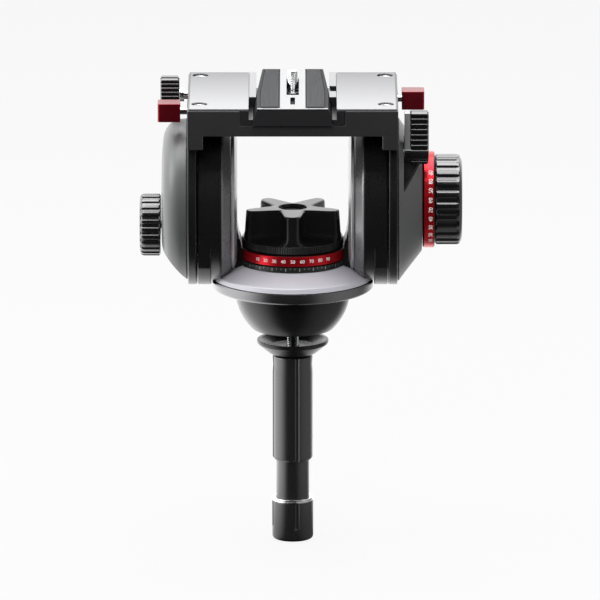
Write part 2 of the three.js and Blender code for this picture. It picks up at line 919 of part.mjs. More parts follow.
// Black drum that carries a tilt axle, with its foot. Its outer side is hollow round the axle's boss.
function upright() {
  const bore = axleRadius + seatGap;
  const innerRound = arc(uprightRound, -Math.PI / 2, 0, uprightRoundSteps);
  const body = turned(
    [
      [bore, uprightInner],
      ...moved(innerRound, uprightRadius - uprightRound, uprightInner + uprightRound),
      [uprightRadius, uprightOuter - uprightChamfer],
      [uprightRadius - uprightChamfer, uprightOuter],
      [uprightHollowRadius, uprightOuter],
      [uprightHollowRadius, uprightInner + uprightWeb],
      [uprightBossRadius, uprightInner + uprightWeb],
      [uprightBossRadius, uprightOuter],
      [bore, uprightOuter],
    ],
    fineSides,
    "x",
  );
  const reach = uprightRadius + overrun;
  const bottom = housingBase - tiltHeight;
  const floor = block([0, uprightOuter + overrun], [-reach, reach], [-reach - overrun, bottom]);
  const foot = uprightFoot(uprightInner + uprightWeb / 2, 0);
  return cut(join(cut(body, floor), foot, uprightRim()), panEnvelope(), ringEnvelope());
}

// Where the springs and gears of the left cover lie, from the cradle arm outwards
const springCupBase = coverRim + runGap;
const springBase = springCupBase + springCupFloor + runGap;
const springTop = springBase + springWidth;
const gearBase = springTop + 2 * runGap;
const gearTop = gearBase + gearThickness;
const axleEndStart = springBase - runGap;
const balanceDrop = (gearModule * (gearTeeth + pinionTeeth)) / 2;

function leftAxle() {
  return turned(
    [
      [0, uprightInner],
      [axleRadius, uprightInner],
      [axleRadius, axleEndStart],
      [axleEndRadius, axleEndStart],
      [axleEndRadius, axleEndStart + axleEndLength],
      [0, axleEndStart + axleEndLength],
    ],
    plainSides,
    "x",
  );
}

// Where the tilt drag lies in the right cover
const rightCoverEnd = coverRim + rightCoverDepth;
const rightEndWall = rightCoverEnd - coverWall;
const cartridgeEnd = rightEndWall - seatGap;
const cartridgeBase = cartridgeEnd - cartridgeLength;
const tiltRotorBase = cartridgeBase + cartridgeFloor + runGap;
const rightAxleEnd = tiltRotorBase + tiltRotorThickness + runGap;

function tiltRotor() {
  const outer = cartridgeRadius - cartridgeWall - runGap;
  return tube("x", axleRadius + seatGap, outer, tiltRotorBase, tiltRotorBase + tiltRotorThickness);
}

function tiltCartridge() {
  const inner = cartridgeRadius - cartridgeWall;
  return turned(
    [
      [axleRadius + runGap, cartridgeBase],
      [cartridgeRadius, cartridgeBase],
      [cartridgeRadius, cartridgeEnd],
      [inner, cartridgeEnd],
      [inner, cartridgeBase + cartridgeFloor],
      [axleRadius + runGap, cartridgeBase + cartridgeFloor],
    ],
    plainSides,
    "x",
  );
}

function springCup() {
  const inner = springOuterRadius + springThickness + seatGap;
  const outer = inner + springCupWall;
  const floorEnd = springCupBase + springCupFloor;
  return turned(
    [
      [axleRadius + seatGap, springCupBase],
      [outer, springCupBase],
      [outer, springTop],
      [inner, springTop],
      [inner, floorEnd],
      [axleRadius + seatGap, floorEnd],
    ],
    fineSides,
    "x",
  );
}

// Flat spiral spring between the arbor and the cup's rim.
function balanceSpring() {
  const innerRadius = arborRadius + seatGap + springThickness / 2;
  const steps = springTurns * springStepsPerTurn;
  const line = (offset) =>
    Array.from({ length: steps + 1 }, (_, i) => {
      const angle = (i * 2 * Math.PI) / springStepsPerTurn;
      const radius = innerRadius + ((springOuterRadius - innerRadius) * i) / steps + offset;
      return [radius * Math.cos(angle), radius * Math.sin(angle)];
    });
  const outline = [...line(springThickness / 2), ...line(-springThickness / 2).reverse()];
  return prismX(outline, springBase, springTop);
}

// Yoke that pans: uprights, caps, axles, rotor and spring, round the tilt axis
function panYoke() {
  return group(
    tiltHeight,
    mesh("upright_right", upright(), blackPaint),
    mirrored(mesh("upright_left", upright(), blackPaint)),
    mesh("inner_cap_right", innerCap(), paleMetal),
    mirrored(mesh("inner_cap_left", innerCap(), paleMetal)),
    mesh("tilt_axle_right", bar("x", axleRadius, uprightInner, rightAxleEnd, plainSides), steel),
    mirrored(mesh("tilt_axle_left", leftAxle(), steel)),
    mesh("tilt_rotor", tiltRotor(), bronze),
    mirrored(mesh("spring_cup", springCup(), darkMetal)),
    mirrored(mesh("counterbalance_spring", balanceSpring(), steel)),
  );
}

// Cradle arm: round below, with straight sides that lean in towards the deck.
function cradleArm(...holes) {
  const top = deckBase - seatGap;
  const lean = Math.acos(armRadius / Math.hypot(armTopHalf, top));
  const side = Math.atan2(top, armTopHalf) - lean;
  const outline = [
    [armTopHalf, top],
    [-armTopHalf, top],
    ...arc(armRadius, Math.PI - side, 2 * Math.PI + side, fineSides),
  ];
  const bore = bar("x", bearingBoreRadius, armInner - overrun, armOuter + overrun, plainSides);
  return cut(prismX(outline, armInner, armOuter), bore, ...holes);
}

function brakePadHole() {
  const hole = bar("x", brakePadRadius + seatGap, armInner - overrun, armOuter + overrun);
  return hole.translate(0, lockLeverY, lockLeverZ);
}

function tiltBearing() {
  const outer = bearingBoreRadius - seatGap;
  return tube("x", axleRadius + seatGap, outer, armInner + bearingInset, armOuter - bearingInset);
}

// Outline of a cover's outside, from its rim to its end, drawn in by a wall's thickness.
function coverOutline(rimRadius, depth, endRadius, depthShares, radiusShares, wall) {
  const points = depthShares.map((share, i) => {
    const radius = endRadius + (rimRadius - endRadius) * radiusShares[i] - wall;
    const place = coverRim + (wall > 0 ? Math.min(depth * share, depth - wall) : depth * share);
    return [radius, place];
  });
  const start = coverRim - (wall > 0 ? overrun : 0);
  const end = points.at(-1)[1];
  return [[0, start], [points[0][0], start], ...points.slice(wall > 0 ? 0 : 1), [0, end]];
}

function leftCoverBody(wall, sides) {
  const outline = coverOutline(
    leftCoverRadius,
    leftCoverDepth,
    0,
    leftCoverDepthShares,
    leftCoverRadiusShares,
    wall,
  );
  return turned(outline, sides, "x");
}

// Everything under the left cover's slanted lower face, raised by a wall's thickness.
function leftSlope(wall) {
  const topX = coverRim + leftSlopeTopX;
  const rise = (leftSlopeTopZ - leftSlopeBottomZ) / leftSlopeTopX;
  const farX = topX + leftCoverDepth;
  const nearX = coverRim - leftCoverDepth;
  const line = (x) => leftSlopeTopZ + wall + rise * (x - topX);
  const bottom = -leftCoverRadius - overrun - leftCoverDepth;
  const outline = [[nearX, line(nearX)], [nearX, bottom], [farX, bottom], [farX, line(farX)]];
  return prismY(outline, -leftCoverRadius, leftCoverRadius);
}

function leftCover() {
  const shaftHole = bar("x", knobShaftRadius + runGap, coverRim, coverRim + leftCoverDepth + overrun);
  const hollow = cut(leftCoverBody(coverWall, plainSides), leftSlope(coverWall));
  return cut(leftCoverBody(0, fineSides), leftSlope(0), hollow, shaftHole.translate(0, 0, -balanceDrop));
}

function rightCoverBody(wall, sides) {
  const outline = coverOutline(
    rightCoverRadius,
    rightCoverDepth,
    rightCoverEndRadius,
    rightCoverDepthShares,
    rightCoverRadiusShares,
    wall,
  );
  return turned(outline, sides, "x");
}

// Room in the right cover for the tilt lock lever, widened by a wall's thickness.
function leverPocket(wall) {
  const side = coverRim + pocketFloorDepth;
  const gripReach = Math.hypot(lockGripBelow, lockGripThickness / 2);
  const back = lockLeverY + gripReach + 2 * runGap + wall;
  const slope = pocketSlopeRise / pocketSlopeRun;
  const far = rightCoverEnd + overrun;
  const line = (x) => pocketBottomZ - wall * (1 + slope) + slope * (x - side + wall);
  const top = rightCoverRadius + overrun;
  const outline = [[side - wall, line(side - wall)], [far, line(far)], [far, top], [side - wall, top]];
  return prismY(outline, -rightCoverRadius - overrun, back);
}

function rightCover() {
  const mouth = bar("x", rightCoverMouthRadius, coverRim, rightCoverEnd + overrun, plainSides);
  const stemHole = bar("x", lockLeverStemRadius + runGap, coverRim - overrun, rightCoverEnd);
  const hollow = cut(rightCoverBody(coverWall, plainSides), leverPocket(pocketWall));
  const placedHole = stemHole.translate(0, lockLeverY, lockLeverZ);
  return cut(rightCoverBody(0, fineSides), leverPocket(0), hollow, mouth, placedHole);
}

// Tilt lock: a ribbed lever whose stem drives the pad against the upright's side
function tiltLockLever() {
  const stemStart = armOuter + runGap + seatGap;
  const hubStart = coverRim + pocketFloorDepth + runGap;
  const hubEnd = hubStart + lockHubLength;
  const stem = bar("x", lockLeverStemRadius, stemStart, hubStart + lockHubLength / 2);
  const hub = bar("x", lockHubRadius, hubStart, hubEnd);
  const gripStart = hubEnd - lockGripWidth;
  const grip = prismX(
    ribbedBarOutline(lockGripThickness, -lockGripBelow, lockGripAbove, lockGripRibs),
    gripStart,
    hubEnd,
  );
  const across = [hubStart, gripStart + overrun];
  const plate = block(across, [-lockPlateHalf, lockPlateHalf], [0, lockGripAbove - lockPlateInset]);
  return join(stem, hub, grip, plate);
}

function tiltLock() {
  const pad = bar("x", brakePadRadius, uprightOuter + seatGap, armOuter + runGap);
  const made = group(
    0,
    mesh("tilt_lock_lever", tiltLockLever(), blackRubber),
    mesh("tilt_brake_pad", pad, darkMetal),
  );
  made.position.set(0, lockLeverY, lockLeverZ);
  return made;
}

// Ribbed round knob with a chamfered outer edge, along +X.
function ribbedKnob(radius, ribs, from, length) {
  const to = from + length;
  const body = turned(
    [
      [0, from],
      [radius, from],
      [radius, to - knobChamfer],
      [radius - knobChamfer, to],
      [0, to],
    ],
    fineSides,
    "x",
  );
  return common(body, prismX(ribbedOutline(radius, knobRibDepth, ribs), from - overrun, to + overrun));
}

const tiltRingBase = rightCoverEnd + runGap;
const tiltKnobBase = tiltRingBase + tiltRingWidth + seatGap;

function tiltDragRing() {
  const spigot = rightCoverMouthRadius - runGap;
  const end = tiltRingBase + tiltRingWidth;
  return turned(
    [
      [0, tiltRingBase - spigotLength],
      [spigot, tiltRingBase - spigotLength],
      [spigot, tiltRingBase],
      [tiltRingRadius - tiltRingChamfer, tiltRingBase],
      [tiltRingRadius, tiltRingBase + tiltRingChamfer],
      [tiltRingRadius, end - tiltRingChamfer],
      [tiltRingRadius - tiltRingChamfer, end],
      [0, end],
    ],
    fineSides,
    "x",
  );
}

function tiltDragKnob() {
  const end = tiltKnobBase + tiltKnobLength;
  const knob = ribbedKnob(tiltKnobRadius, tiltKnobRibs, tiltKnobBase, tiltKnobLength);
  return cut(knob, bar("x", tiltKnobRecessRadius, end - tiltKnobRecessDepth, end + overrun, plainSides));
}

// Counterbalance: the knob's pinion turns the large gear, whose arbor winds the spring
function balanceKnob() {
  const base = coverRim + leftCoverDepth + runGap;
  const knob = ribbedKnob(balanceKnobRadius, balanceKnobRibs, base, balanceKnobLength);
  return join(knob, bar("x", knobShaftRadius, gearBase, base + balanceKnobLength / 2));
}

function pinion() {
  const bore = bar("x", knobShaftRadius + seatGap, gearBase - overrun, gearTop + overrun);
  const outline = gearOutline(pinionTeeth, Math.PI / 2 + Math.PI / pinionTeeth);
  return cut(prismX(outline, gearBase, gearTop), bore);
}

function springGear() {
  const arbor = bar("x", arborRadius, springBase, gearBase + gearThickness / 2, plainSides);
  const bore = bar("x", axleEndRadius + runGap, springBase - overrun, gearTop + overrun, plainSides);
  return cut(join(prismX(gearOutline(gearTeeth, -Math.PI / 2), gearBase, gearTop), arbor), bore);
}

function counterbalance() {
  return group(
    -balanceDrop,
    mirrored(mesh("counterbalance_knob", balanceKnob(), blackRubber)),
    mirrored(mesh("counterbalance_pinion", pinion(), steel)),
  );
}

// Deck with the plate's channel, bores for the side controls and seats for its screws
const screwPlaces = [
  [-1, deckFront + screwFrontInset],
  [1, deckFront + screwFrontInset],
  [-1, deckBack - screwBackInset],
  [1, deckBack - screwBackInset],
].map(([side, y]) => [side * (armOuter - screwInset), y]);
const lockStemZ = channelFloor + lockHeight;
const tabStemEnd = armOuter + tabGap + tabTravel - tabStemLength;

function tabBore(side, standOff) {
  const end = tabStemEnd + standOff - tabTravel - runGap;
  const bore = bar("x", tabStemRadius + runGap, end, armOuter + overrun);
  return side < 0 ? bore.rotateZ(Math.PI) : bore;
}

function bridgeDeck() {
  const body = prismY(
    [
      [-armOuter, deckBase],
      [armOuter, deckBase],
      [armOuter, deckTop],
      [channelHalf, deckTop],
      [channelHalf, channelFloor],
      [-channelHalf, channelFloor],
      [-channelHalf, deckTop],
      [-armOuter, deckTop],
    ],
    deckFront,
    deckBack,
  );
  const height = [deckBase - skirtDrop, deckBase + deckFloor / 2];
  const skirts = [
    block([armOuter - skirtWidth, armOuter], [deckFront, deckFront + skirtLength], height),
    block([-armOuter, skirtWidth - armOuter], [deckFront, deckFront + skirtLength], height),
    block([armOuter - skirtWidth, armOuter], [deckBack - skirtLength, deckBack], height),
    block([-armOuter, skirtWidth - armOuter], [deckBack - skirtLength, deckBack], height),
  ];
  const seat = deckTop - screwHeadHeight;
  const shankEnd = seat - screwShankLength - runGap;
  const screwBores = screwPlaces.flatMap(([x, y]) => [
    bar("z", screwHeadRadius + seatGap, seat, deckTop + overrun).translate(x, y, 0),
    bar("z", screwShankRadius + seatGap, shankEnd, deckTop, tinySides).translate(x, y, 0),
  ]);
  const lockBore = bar("x", lockStemRadius + runGap, -armOuter - overrun, overrun - channelHalf);
  return cut(
    join(body, ...skirts),
    ...screwBores,
    lockBore.translate(0, jawY, lockStemZ),
    tabBore(-1, leftTabStandOff).translate(0, leftTabY, lockStemZ),
    tabBore(1, 0).translate(0, rightTabY, lockStemZ),
  );
}

function deckPanel(side) {
  const base = deckTop + seatGap;
  const across = [railLip + seatGap, armOuter - panelInset].map((x) => side * x);
  across.sort((a, b) => a - b);
  const sheet = block(across, [deckFront + panelInset, deckBack - panelInset], [base, panelTop]);
  const holes = screwPlaces
    .filter(([x]) => x * side > 0)
    .map(([x, y]) => bar("z", panelHoleRadius, base - overrun, panelTop + overrun).translate(x, y, 0));
  return cut(sheet, ...holes);
}

function deckScrew() {
  const seat = deckTop - screwHeadHeight + seatGap;
  const top = seat + screwHeadHeight;
  return turned(
    [
      [0, seat - screwShankLength],
      [screwShankRadius, seat - screwShankLength],
      [screwShankRadius, seat],
      [screwHeadRadius, seat],
      [screwHeadRadius, top],
      [screwSocketRadius, top],
      [screwSocketRadius, top - screwSocketDepth],
      [0, top - screwSocketDepth],
    ],
    tinySides,
  );
}

function deckScrews() {
  return screwPlaces.map(([x, y], i) => {
    const made = mesh("deck_screw_" + (i + 1), deckScrew(), steel);
    made.position.set(x, y, 0);
    return made;
  });
}

// Rail beside the plate: the dovetail's counterpart inside, a ledge for the panel outside
function railBody() {
  return prismY(
    [
      [plateHalfAt(railBase) + runGap, railBase],
      [railOuter, railBase],
      [railOuter, railStepTop],
      [railLip, railStepTop],
      [railLip, railTop],
      [railInnerTop, railTop],
    ],
    deckFront,
    deckBack,
  );
}

function railNotch(from, to) {
  const height = [railTop - notchDepth, railTop + overrun];
  return block([railInnerTop - overrun, railLip + seatGap], [from, to], height);
}

function frontNotch() {
  return railNotch(deckFront + overrun / 2, deckFront + notchLength);
}

const jawOuter = railOuter - jawWall;
const jawTop = railBase + jawHeight;

function jawPocket() {
  const half = jawLength / 2 + runGap;
  return block(
    [plateHalfAt(plateTop) - overrun, jawOuter + seatGap],
    [jawY - half, jawY + half],
    [railBase - overrun, jawTop + seatGap],
  );
}

function clampJaw() {
  const gap = jawTravel + seatGap;
  const outline = [
    [plateHalfAt(railBase) + gap, railBase],
    [jawOuter, railBase],
    [jawOuter, jawTop],
    [plateHalfAt(jawTop) + gap, jawTop],
  ];
  return prismY(outline, jawY - jawLength / 2, jawY + jawLength / 2);
}

function stemMouth() {
  const mouth = bar("x", lockStemRadius + runGap, jawOuter - overrun, railOuter + overrun);
  return mouth.translate(0, jawY, lockHeight);
}

function plateLockLever() {
  const start = railOuter + seatGap;
  const barStart = armOuter + lockBarGap;
  const stem = bar("x", lockStemRadius, start, barStart + lockBarWidth / 2);
  const outline = ribbedBarOutline(lockBarThickness, -lockBarLength / 2, lockBarLength / 2, lockRibs);
  return join(stem, prismX(outline, barStart, barStart + lockBarWidth));
}

// Red tab that is pushed towards the deck, with its stem
function releaseTab(standOff) {
  const face = armOuter + tabGap + tabTravel + standOff;
  const end = face + tabWidth;
  const half = tabLength / 2;
  const outline = [
    [face, -half],
    [end - tabChamfer, -half],
    [end, tabChamfer - half],
    [end, half - tabChamfer],
    [end - tabChamfer, half],
    [face, half],
  ];
  const stem = bar("x", tabStemRadius, face - tabStemLength, face + tabWidth / 2);
  return join(prismZ(outline, -tabHeight / 2, tabHeight / 2), stem);
}

function placed(made, x, y, z) {
  made.position.set(x, y, z);
  return made;
}

// Camera plate with its slot, the channel under it and two rubber pads
function plateTaperTool(side, half, taper, from, to) {
  const start = plateLength / 2 - plateTaperLength;
  const end = plateLength / 2;
  const outline = [
    [half, start],
    [half - taper, end],
    [half - taper, end + overrun],
    [half + overrun, end + overrun],
    [half + overrun, start],
  ];
  return prismZ(outline.map(([x, y]) => [side * x, y]), from, to);
}

function padOutline(grow) {
  const back = plateLength / 2 - padEndInset + grow;
  const front = padEndInset - plateLength / 2 - grow;
  const start = plateLength / 2 - plateTaperLength;
  return [
    [padInner - grow, front],
    [padOuter + grow, front],
    [padOuter + grow, start],
    [padOuter - padTaper + grow, back],
    [padInner - grow, back],
  ];
}

function cameraPlate() {
  const half = plateLength / 2;
  const body = prismY(
    [
      [-plateBottomHalf, plateBase],
      [plateBottomHalf, plateBase],
      [plateTopHalf, plateTop],
      [-plateTopHalf, plateTop],
    ],
    -half,
    half,
  );
  const below = plateBase - overrun;
  const above = plateTop + overrun;
  const channelTop = plateBase + plateChannelDepth;
  const channelHalfWidth = washerHalf + runGap;
  const padFloor = plateTop - padSink;
  const pocket = padOutline(seatGap);
  return cut(
    body,
    block([-plateSlotHalf, plateSlotHalf], [plateSlotFront, plateSlotBack], [below, above]),
    block(
      [-channelHalfWidth, channelHalfWidth],
      [plateSlotFront - washerEndRoom, plateSlotBack + washerEndRoom],
      [below, channelTop],
    ),
    block([-markSlotHalf, markSlotHalf], [markSlotFront, markSlotBack], [plateTop - markSlotDepth, above]),
    prismZ(pocket, padFloor, above),
    prismZ(pocket.map(([x, y]) => [-x, y]), padFloor, above),
    plateTaperTool(1, plateBottomHalf, plateTaper, below, above),
    plateTaperTool(-1, plateBottomHalf, plateTaper, below, above),
    plateTaperTool(1, plateTopHalf, plateTaper, plateTop - plateThickness / 2, above),
    plateTaperTool(-1, plateTopHalf, plateTaper, plateTop - plateThickness / 2, above),
  );
}

function rubberPad() {
  const base = plateTop - padSink + seatGap;
  return prismZ(padOutline(0), base, base + padThickness);
}

const washerTop = plateBase + plateChannelDepth - runGap;
const washerBase = washerTop - washerThickness;

function screwWasher() {
  const lengthwise = [-washerLength / 2, washerLength / 2];
  const sheet = block([-washerHalf, washerHalf], lengthwise, [washerBase, washerTop]);
  return cut(sheet, bar("z", cameraScrewRadius + seatGap, washerBase - overrun, washerTop + overrun));
}

function cameraScrew() {
  const headTop = washerBase - seatGap;
  return turned(
    [
      [0, headTop - cameraScrewHeadHeight],
      [cameraScrewHeadRadius, headTop - cameraScrewHeadHeight],
      [cameraScrewHeadRadius, headTop],
      [cameraScrewRadius, headTop],
      [cameraScrewRadius, plateTop + cameraScrewProud],
      [0, plateTop + cameraScrewProud],
    ],
    plainSides,
  );
}

function plateAndRails() {
  const rearNotch = railNotch(rearNotchY - rearNotchLength / 2, rearNotchY + rearNotchLength / 2);
  const leftTab = releaseTab(leftTabStandOff);
  return group(
    channelFloor,
    mesh("plate_rail_right", cut(railBody(), frontNotch(), rearNotch), blackPaint),
    mirrored(mesh("plate_rail_left", cut(railBody(), frontNotch(), jawPocket(), stemMouth()), blackPaint)),
    mirrored(mesh("clamp_jaw", clampJaw(), steel)),
    mirrored(placed(mesh("plate_lock_lever", plateLockLever(), blackRubber), 0, jawY, lockHeight)),
    mirrored(placed(mesh("release_tab_left", leftTab, redMetal), 0, leftTabY, lockHeight)),
    placed(mesh("release_tab_right", releaseTab(0), redMetal), 0, rightTabY, lockHeight),
    mesh("camera_plate", cameraPlate(), blackPaint),
    mesh("pad_right", rubberPad(), greyRubber),
    mirrored(mesh("pad_left", rubberPad(), greyRubber)),
    placed(mesh("screw_washer", screwWasher(), steel), 0, cameraScrewY, 0),
    placed(mesh("camera_screw", cameraScrew(), silver), 0, cameraScrewY, 0),
  );
}

// Cradle that tilts: arms, bearings, covers, drags and the deck
function cradle() {
  return group(
    tiltHeight,
    mesh("cradle_arm_right", cradleArm(brakePadHole()), blackPaint),
    mirrored(mesh("cradle_arm_left", cradleArm(), blackPaint)),
    mesh("tilt_bearing_right", tiltBearing(), steel),
    mirrored(mesh("tilt_bearing_left", tiltBearing(), steel)),
    mesh("side_cover_right", rightCover(), darkMetal),
    mirrored(mesh("side_cover_left", leftCover(), darkMetal)),
    mesh("tilt_cartridge", tiltCartridge(), darkMetal),
    mesh("tilt_drag_ring", tiltDragRing(), redMetal),
    mesh("tilt_drag_knob", tiltDragKnob(), blackRubber),
    mirrored(mesh("spring_gear", springGear(), bronze)),
    mesh("bridge_deck", bridgeDeck(), blackPaint),
    mesh("deck_panel_right", deckPanel(1), panelMetal),
    mesh("deck_panel_left", deckPanel(-1), panelMetal),
    ...deckScrews(),
    tiltLock(),
    counterbalance(),
    plateAndRails(),
  );
}

const videoHead = group(0, fixedBase(), tieDown(), panStack(), panYoke(), cradle());

export default videoHead;
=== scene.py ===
import math
import bmesh
import bpy
import numpy as np
from mathutils import Matrix, Vector


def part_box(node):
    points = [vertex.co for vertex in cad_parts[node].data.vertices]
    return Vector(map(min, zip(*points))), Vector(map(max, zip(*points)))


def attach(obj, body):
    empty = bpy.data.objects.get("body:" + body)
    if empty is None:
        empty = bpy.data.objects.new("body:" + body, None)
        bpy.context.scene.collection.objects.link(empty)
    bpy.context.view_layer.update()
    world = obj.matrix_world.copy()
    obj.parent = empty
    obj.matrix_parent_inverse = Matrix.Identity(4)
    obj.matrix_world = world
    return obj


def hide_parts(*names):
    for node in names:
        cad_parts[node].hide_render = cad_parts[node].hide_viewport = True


# A fluid video head on a half ball. Sizes here are in millimetres, and mm turns them into metres.
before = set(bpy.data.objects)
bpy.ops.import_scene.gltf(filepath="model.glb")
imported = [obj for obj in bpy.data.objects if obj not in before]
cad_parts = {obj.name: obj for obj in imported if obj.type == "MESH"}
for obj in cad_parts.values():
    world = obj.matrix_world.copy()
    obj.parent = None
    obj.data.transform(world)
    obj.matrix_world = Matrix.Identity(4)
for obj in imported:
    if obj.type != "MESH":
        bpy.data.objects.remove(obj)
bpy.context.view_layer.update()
mm = 0.001
turn = 2 * math.pi
tiltHeight = 78.0  # of the tilt axis
bothSides = ((1, "right"), (-1, "left"))
print("frame loaded:", len(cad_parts), "solids")

# Helpers for shapes.


def roundedLine(corners, steps=4, closed=False):
    # Each corner (a, b, r) becomes a short curve that leaves its two sides r before the corner:
    # point(t) = (1-t)^2 * start + 2t(1-t) * corner + t^2 * end
    points = []
    count = len(corners)
    t = np.linspace(0, 1, steps + 1)[:, None]
    for i, (a, b, r) in enumerate(corners):
        here = np.array([a, b], float)
        if r <= 0 or (not closed and i in (0, count - 1)):
            points.append(here[None, :])
            continue
        before = np.array(corners[i - 1][:2], float) - here
        after = np.array(corners[(i + 1) % count][:2], float) - here
        lengths = np.linalg.norm(before), np.linalg.norm(after)
        reach = min(r, 0.49 * lengths[0], 0.49 * lengths[1])
        start = here + before / lengths[0] * reach
        end = here + after / lengths[1] * reach
        points.append((1 - t) ** 2 * start + 2 * t * (1 - t) * here + t ** 2 * end)
    return np.vstack(points)


def gridFaces(rows, columns, wrapRows, wrapColumns):
    # Quads between neighbours of a grid of points that is stored row by row.
    r, c = np.meshgrid(
        np.arange(rows if wrapRows else rows - 1),
        np.arange(columns if wrapColumns else columns - 1),
        indexing="ij",
    )
    nextR, nextC = (r + 1) % rows, (c + 1) % columns
    quads = [r * columns + c, r * columns + nextC, nextR * columns + nextC, nextR * columns + c]
    return np.stack(quads, -1).reshape(-1, 4)


def placed(name, data):
    # An object for a mesh, curve, light or camera, linked into the scene.
    held = bpy.data.objects.new(name, data)
    bpy.context.scene.collection.objects.link(held)
    return held


def shownMesh(held):
    # The mesh of an object as its modifiers or its curve leave it.
    bpy.context.view_layer.update()
    return bpy.data.meshes.new_from_object(held.evaluated_get(bpy.context.evaluated_depsgraph_get()))


def softShaded(mesh, sharp=34):
    mesh.shade_smooth()
    mesh.set_sharp_from_angle(angle=math.radians(sharp))


def vertexPlaces(mesh):
    flat = np.zeros(len(mesh.vertices) * 3)
    mesh.vertices.foreach_get("co", flat)
    return flat.reshape(-1, 3)


def meshPiece(name, points, faces, sharp=34):
    # A closed surface from points in millimetres, with doubles merged and faces turned outwards.
    mesh = bpy.data.meshes.new(name)
    mesh.from_pydata((np.asarray(points) * mm).tolist(), [], [list(f) for f in faces])
    work = bmesh.new()
    work.from_mesh(mesh)
    bmesh.ops.remove_doubles(work, verts=work.verts, dist=2e-6)
    bmesh.ops.recalc_face_normals(work, faces=work.faces)
    work.to_mesh(mesh)
    work.free()
    softShaded(mesh, sharp)
    return placed(name, mesh)


def gridPiece(name, grid, wrapRows=False, wrapColumns=True, sharp=34):
    # A grid of points (rows, columns, 3) as a surface. Open ends are closed with one face each.
    rows, columns = grid.shape[:2]
    faces = gridFaces(rows, columns, wrapRows, wrapColumns).tolist()
    if not wrapRows:
        faces.append(list(range(columns)))
        faces.append(list(range((rows - 1) * columns, rows * columns)))
    return meshPiece(name, grid.reshape(-1, 3), faces, sharp)


def roundAxis(radius, place, angle, axis, centre):
    # Points at a radius, a place along the axis and an angle round it.
    side, up = radius * np.cos(angle), radius * np.sin(angle)
    place = place + 0 * side
    parts = {"x": (place, side, up), "y": (side, place, up), "z": (side, up, place)}[axis]
    return np.stack(parts, -1) + np.array(centre, float)


def turned(
    name, corners, axis="z", centre=(0, 0, 0), sides=96, closed=False,
    wave=None, angles=None, sharp=34, steps=4,
):
    # A line of (radius, place) turned round an axis. wave(radius, place, angle) gives the radius at
    # each point of the grid, so that ribs and valleys are a function of height and angle.
    line = roundedLine(corners, steps, closed)
    angle = np.arange(sides) * turn / sides if angles is None else angles
    radius, place = line[:, :1], line[:, 1:]
    full = radius + 0 * angle[None, :]
    if wave is not None:
        full = wave(full, place + 0 * angle[None, :], angle[None, :] + 0 * radius)
    grid = roundAxis(full, place, angle[None, :], axis, centre)
    if closed:
        return gridPiece(name, grid, wrapRows=True, sharp=sharp)
    return gridPiece(name, grid, sharp=sharp)


def layFlat(flat, places, axis):
    # Outline points (a, b) at each place along an axis: (place, a, b), (a, place, b) or (a, b, place).
    rows = []
    for place, (a, b) in zip(places, flat):
        held = np.full(len(a), float(place))
        rows.append(np.stack({"x": (held, a, b), "y": (a, held, b), "z": (a, b, held)}[axis], -1))
    return np.array(rows)


def prism(name, outline, axis, start, end, bevel=0.0, segments=3, sharp=34):
    # A closed outline (a, b) carried straight along an axis. A bevel modifier rounds its edges.
    points = np.asarray(outline, float)[:, :2]
    flat = [(points[:, 0], points[:, 1])] * 2
    piece = gridPiece(name, layFlat(flat, (start, end), axis), sharp=sharp)
    if bevel > 0:
        bevelEdges(piece, bevel, segments)
    return piece


def block(name, low, high, bevel=0.8, segments=3):
    outline = [(low[0], low[2]), (high[0], low[2]), (high[0], high[2]), (low[0], high[2])]
    return prism(name, outline, "y", low[1], high[1], bevel, segments)


def bevelEdges(piece, width, segments=3, angle=28):
    edge = piece.modifiers.new("edges", "BEVEL")
    edge.width = width * mm
    edge.segments = segments
    edge.limit_method = "ANGLE"
    edge.angle_limit = math.radians(angle)
    edge.harden_normals = True
    return piece


def settle(piece):
    # The shape as its modifiers leave it becomes the piece's own mesh.
    mesh = shownMesh(piece)
    old = piece.data
    piece.modifiers.clear()
    piece.data = mesh
    bpy.data.meshes.remove(old)
    return piece


def cutAway(piece, others):
    # Cuts whole closed shapes from a piece, then removes them.
    for other in others:
        step = piece.modifiers.new("step", "BOOLEAN")
        step.operation = "DIFFERENCE"
        step.solver = "EXACT"
        step.object = other
    settle(piece)
    for other in others:
        bpy.data.objects.remove(other)
    softShaded(piece.data)
    return piece


def gathered(name, parts):
    # Several finished shapes as one piece.
    work = bmesh.new()
    for part in parts:
        settle(part)
        work.from_mesh(part.data)
        bpy.data.objects.remove(part)
    mesh = bpy.data.meshes.new(name)
    work.to_mesh(mesh)
    work.free()
    softShaded(mesh)
    return placed(name, mesh)


def dress(piece, body, slot, material, *nodes):
    # Gives a piece its finish, its body and the solids that it stands for.
    piece.data.materials.clear()
    piece.data.materials.append(material)
    if not any(m.type == "WEIGHTED_NORMAL" for m in piece.modifiers):
        even = piece.modifiers.new("even", "WEIGHTED_NORMAL")
        even.keep_sharp = True
    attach(piece, body)
    if nodes:
        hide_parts(*nodes)
    return piece


def smoothStep(low, high, value):
    t = np.clip((value - low) / (high - low), 0, 1)
    return t * t * (3 - 2 * t)


def ribHeight(share, width, soft):
    # 1 on a rib and 0 between ribs. share runs 0 to 1 over one rib, whose middle is at a half.
    away = np.abs(share % 1.0 - 0.5) * 2
    return 1 - smoothStep(width - soft, width + soft, away)


def fluteDepth(angle, marks, radius, fluteRadius, depth):
    # How deep a round flute of a given radius cuts a bar at each angle.
    away = np.abs((angle[..., None] - marks + math.pi) % turn - math.pi).min(-1)
    across = radius * np.sin(np.minimum(away, 1.0))
    inside = np.maximum(fluteRadius ** 2 - across ** 2, 0) ** 0.5 - (fluteRadius - depth)
    return np.maximum(inside, 0)


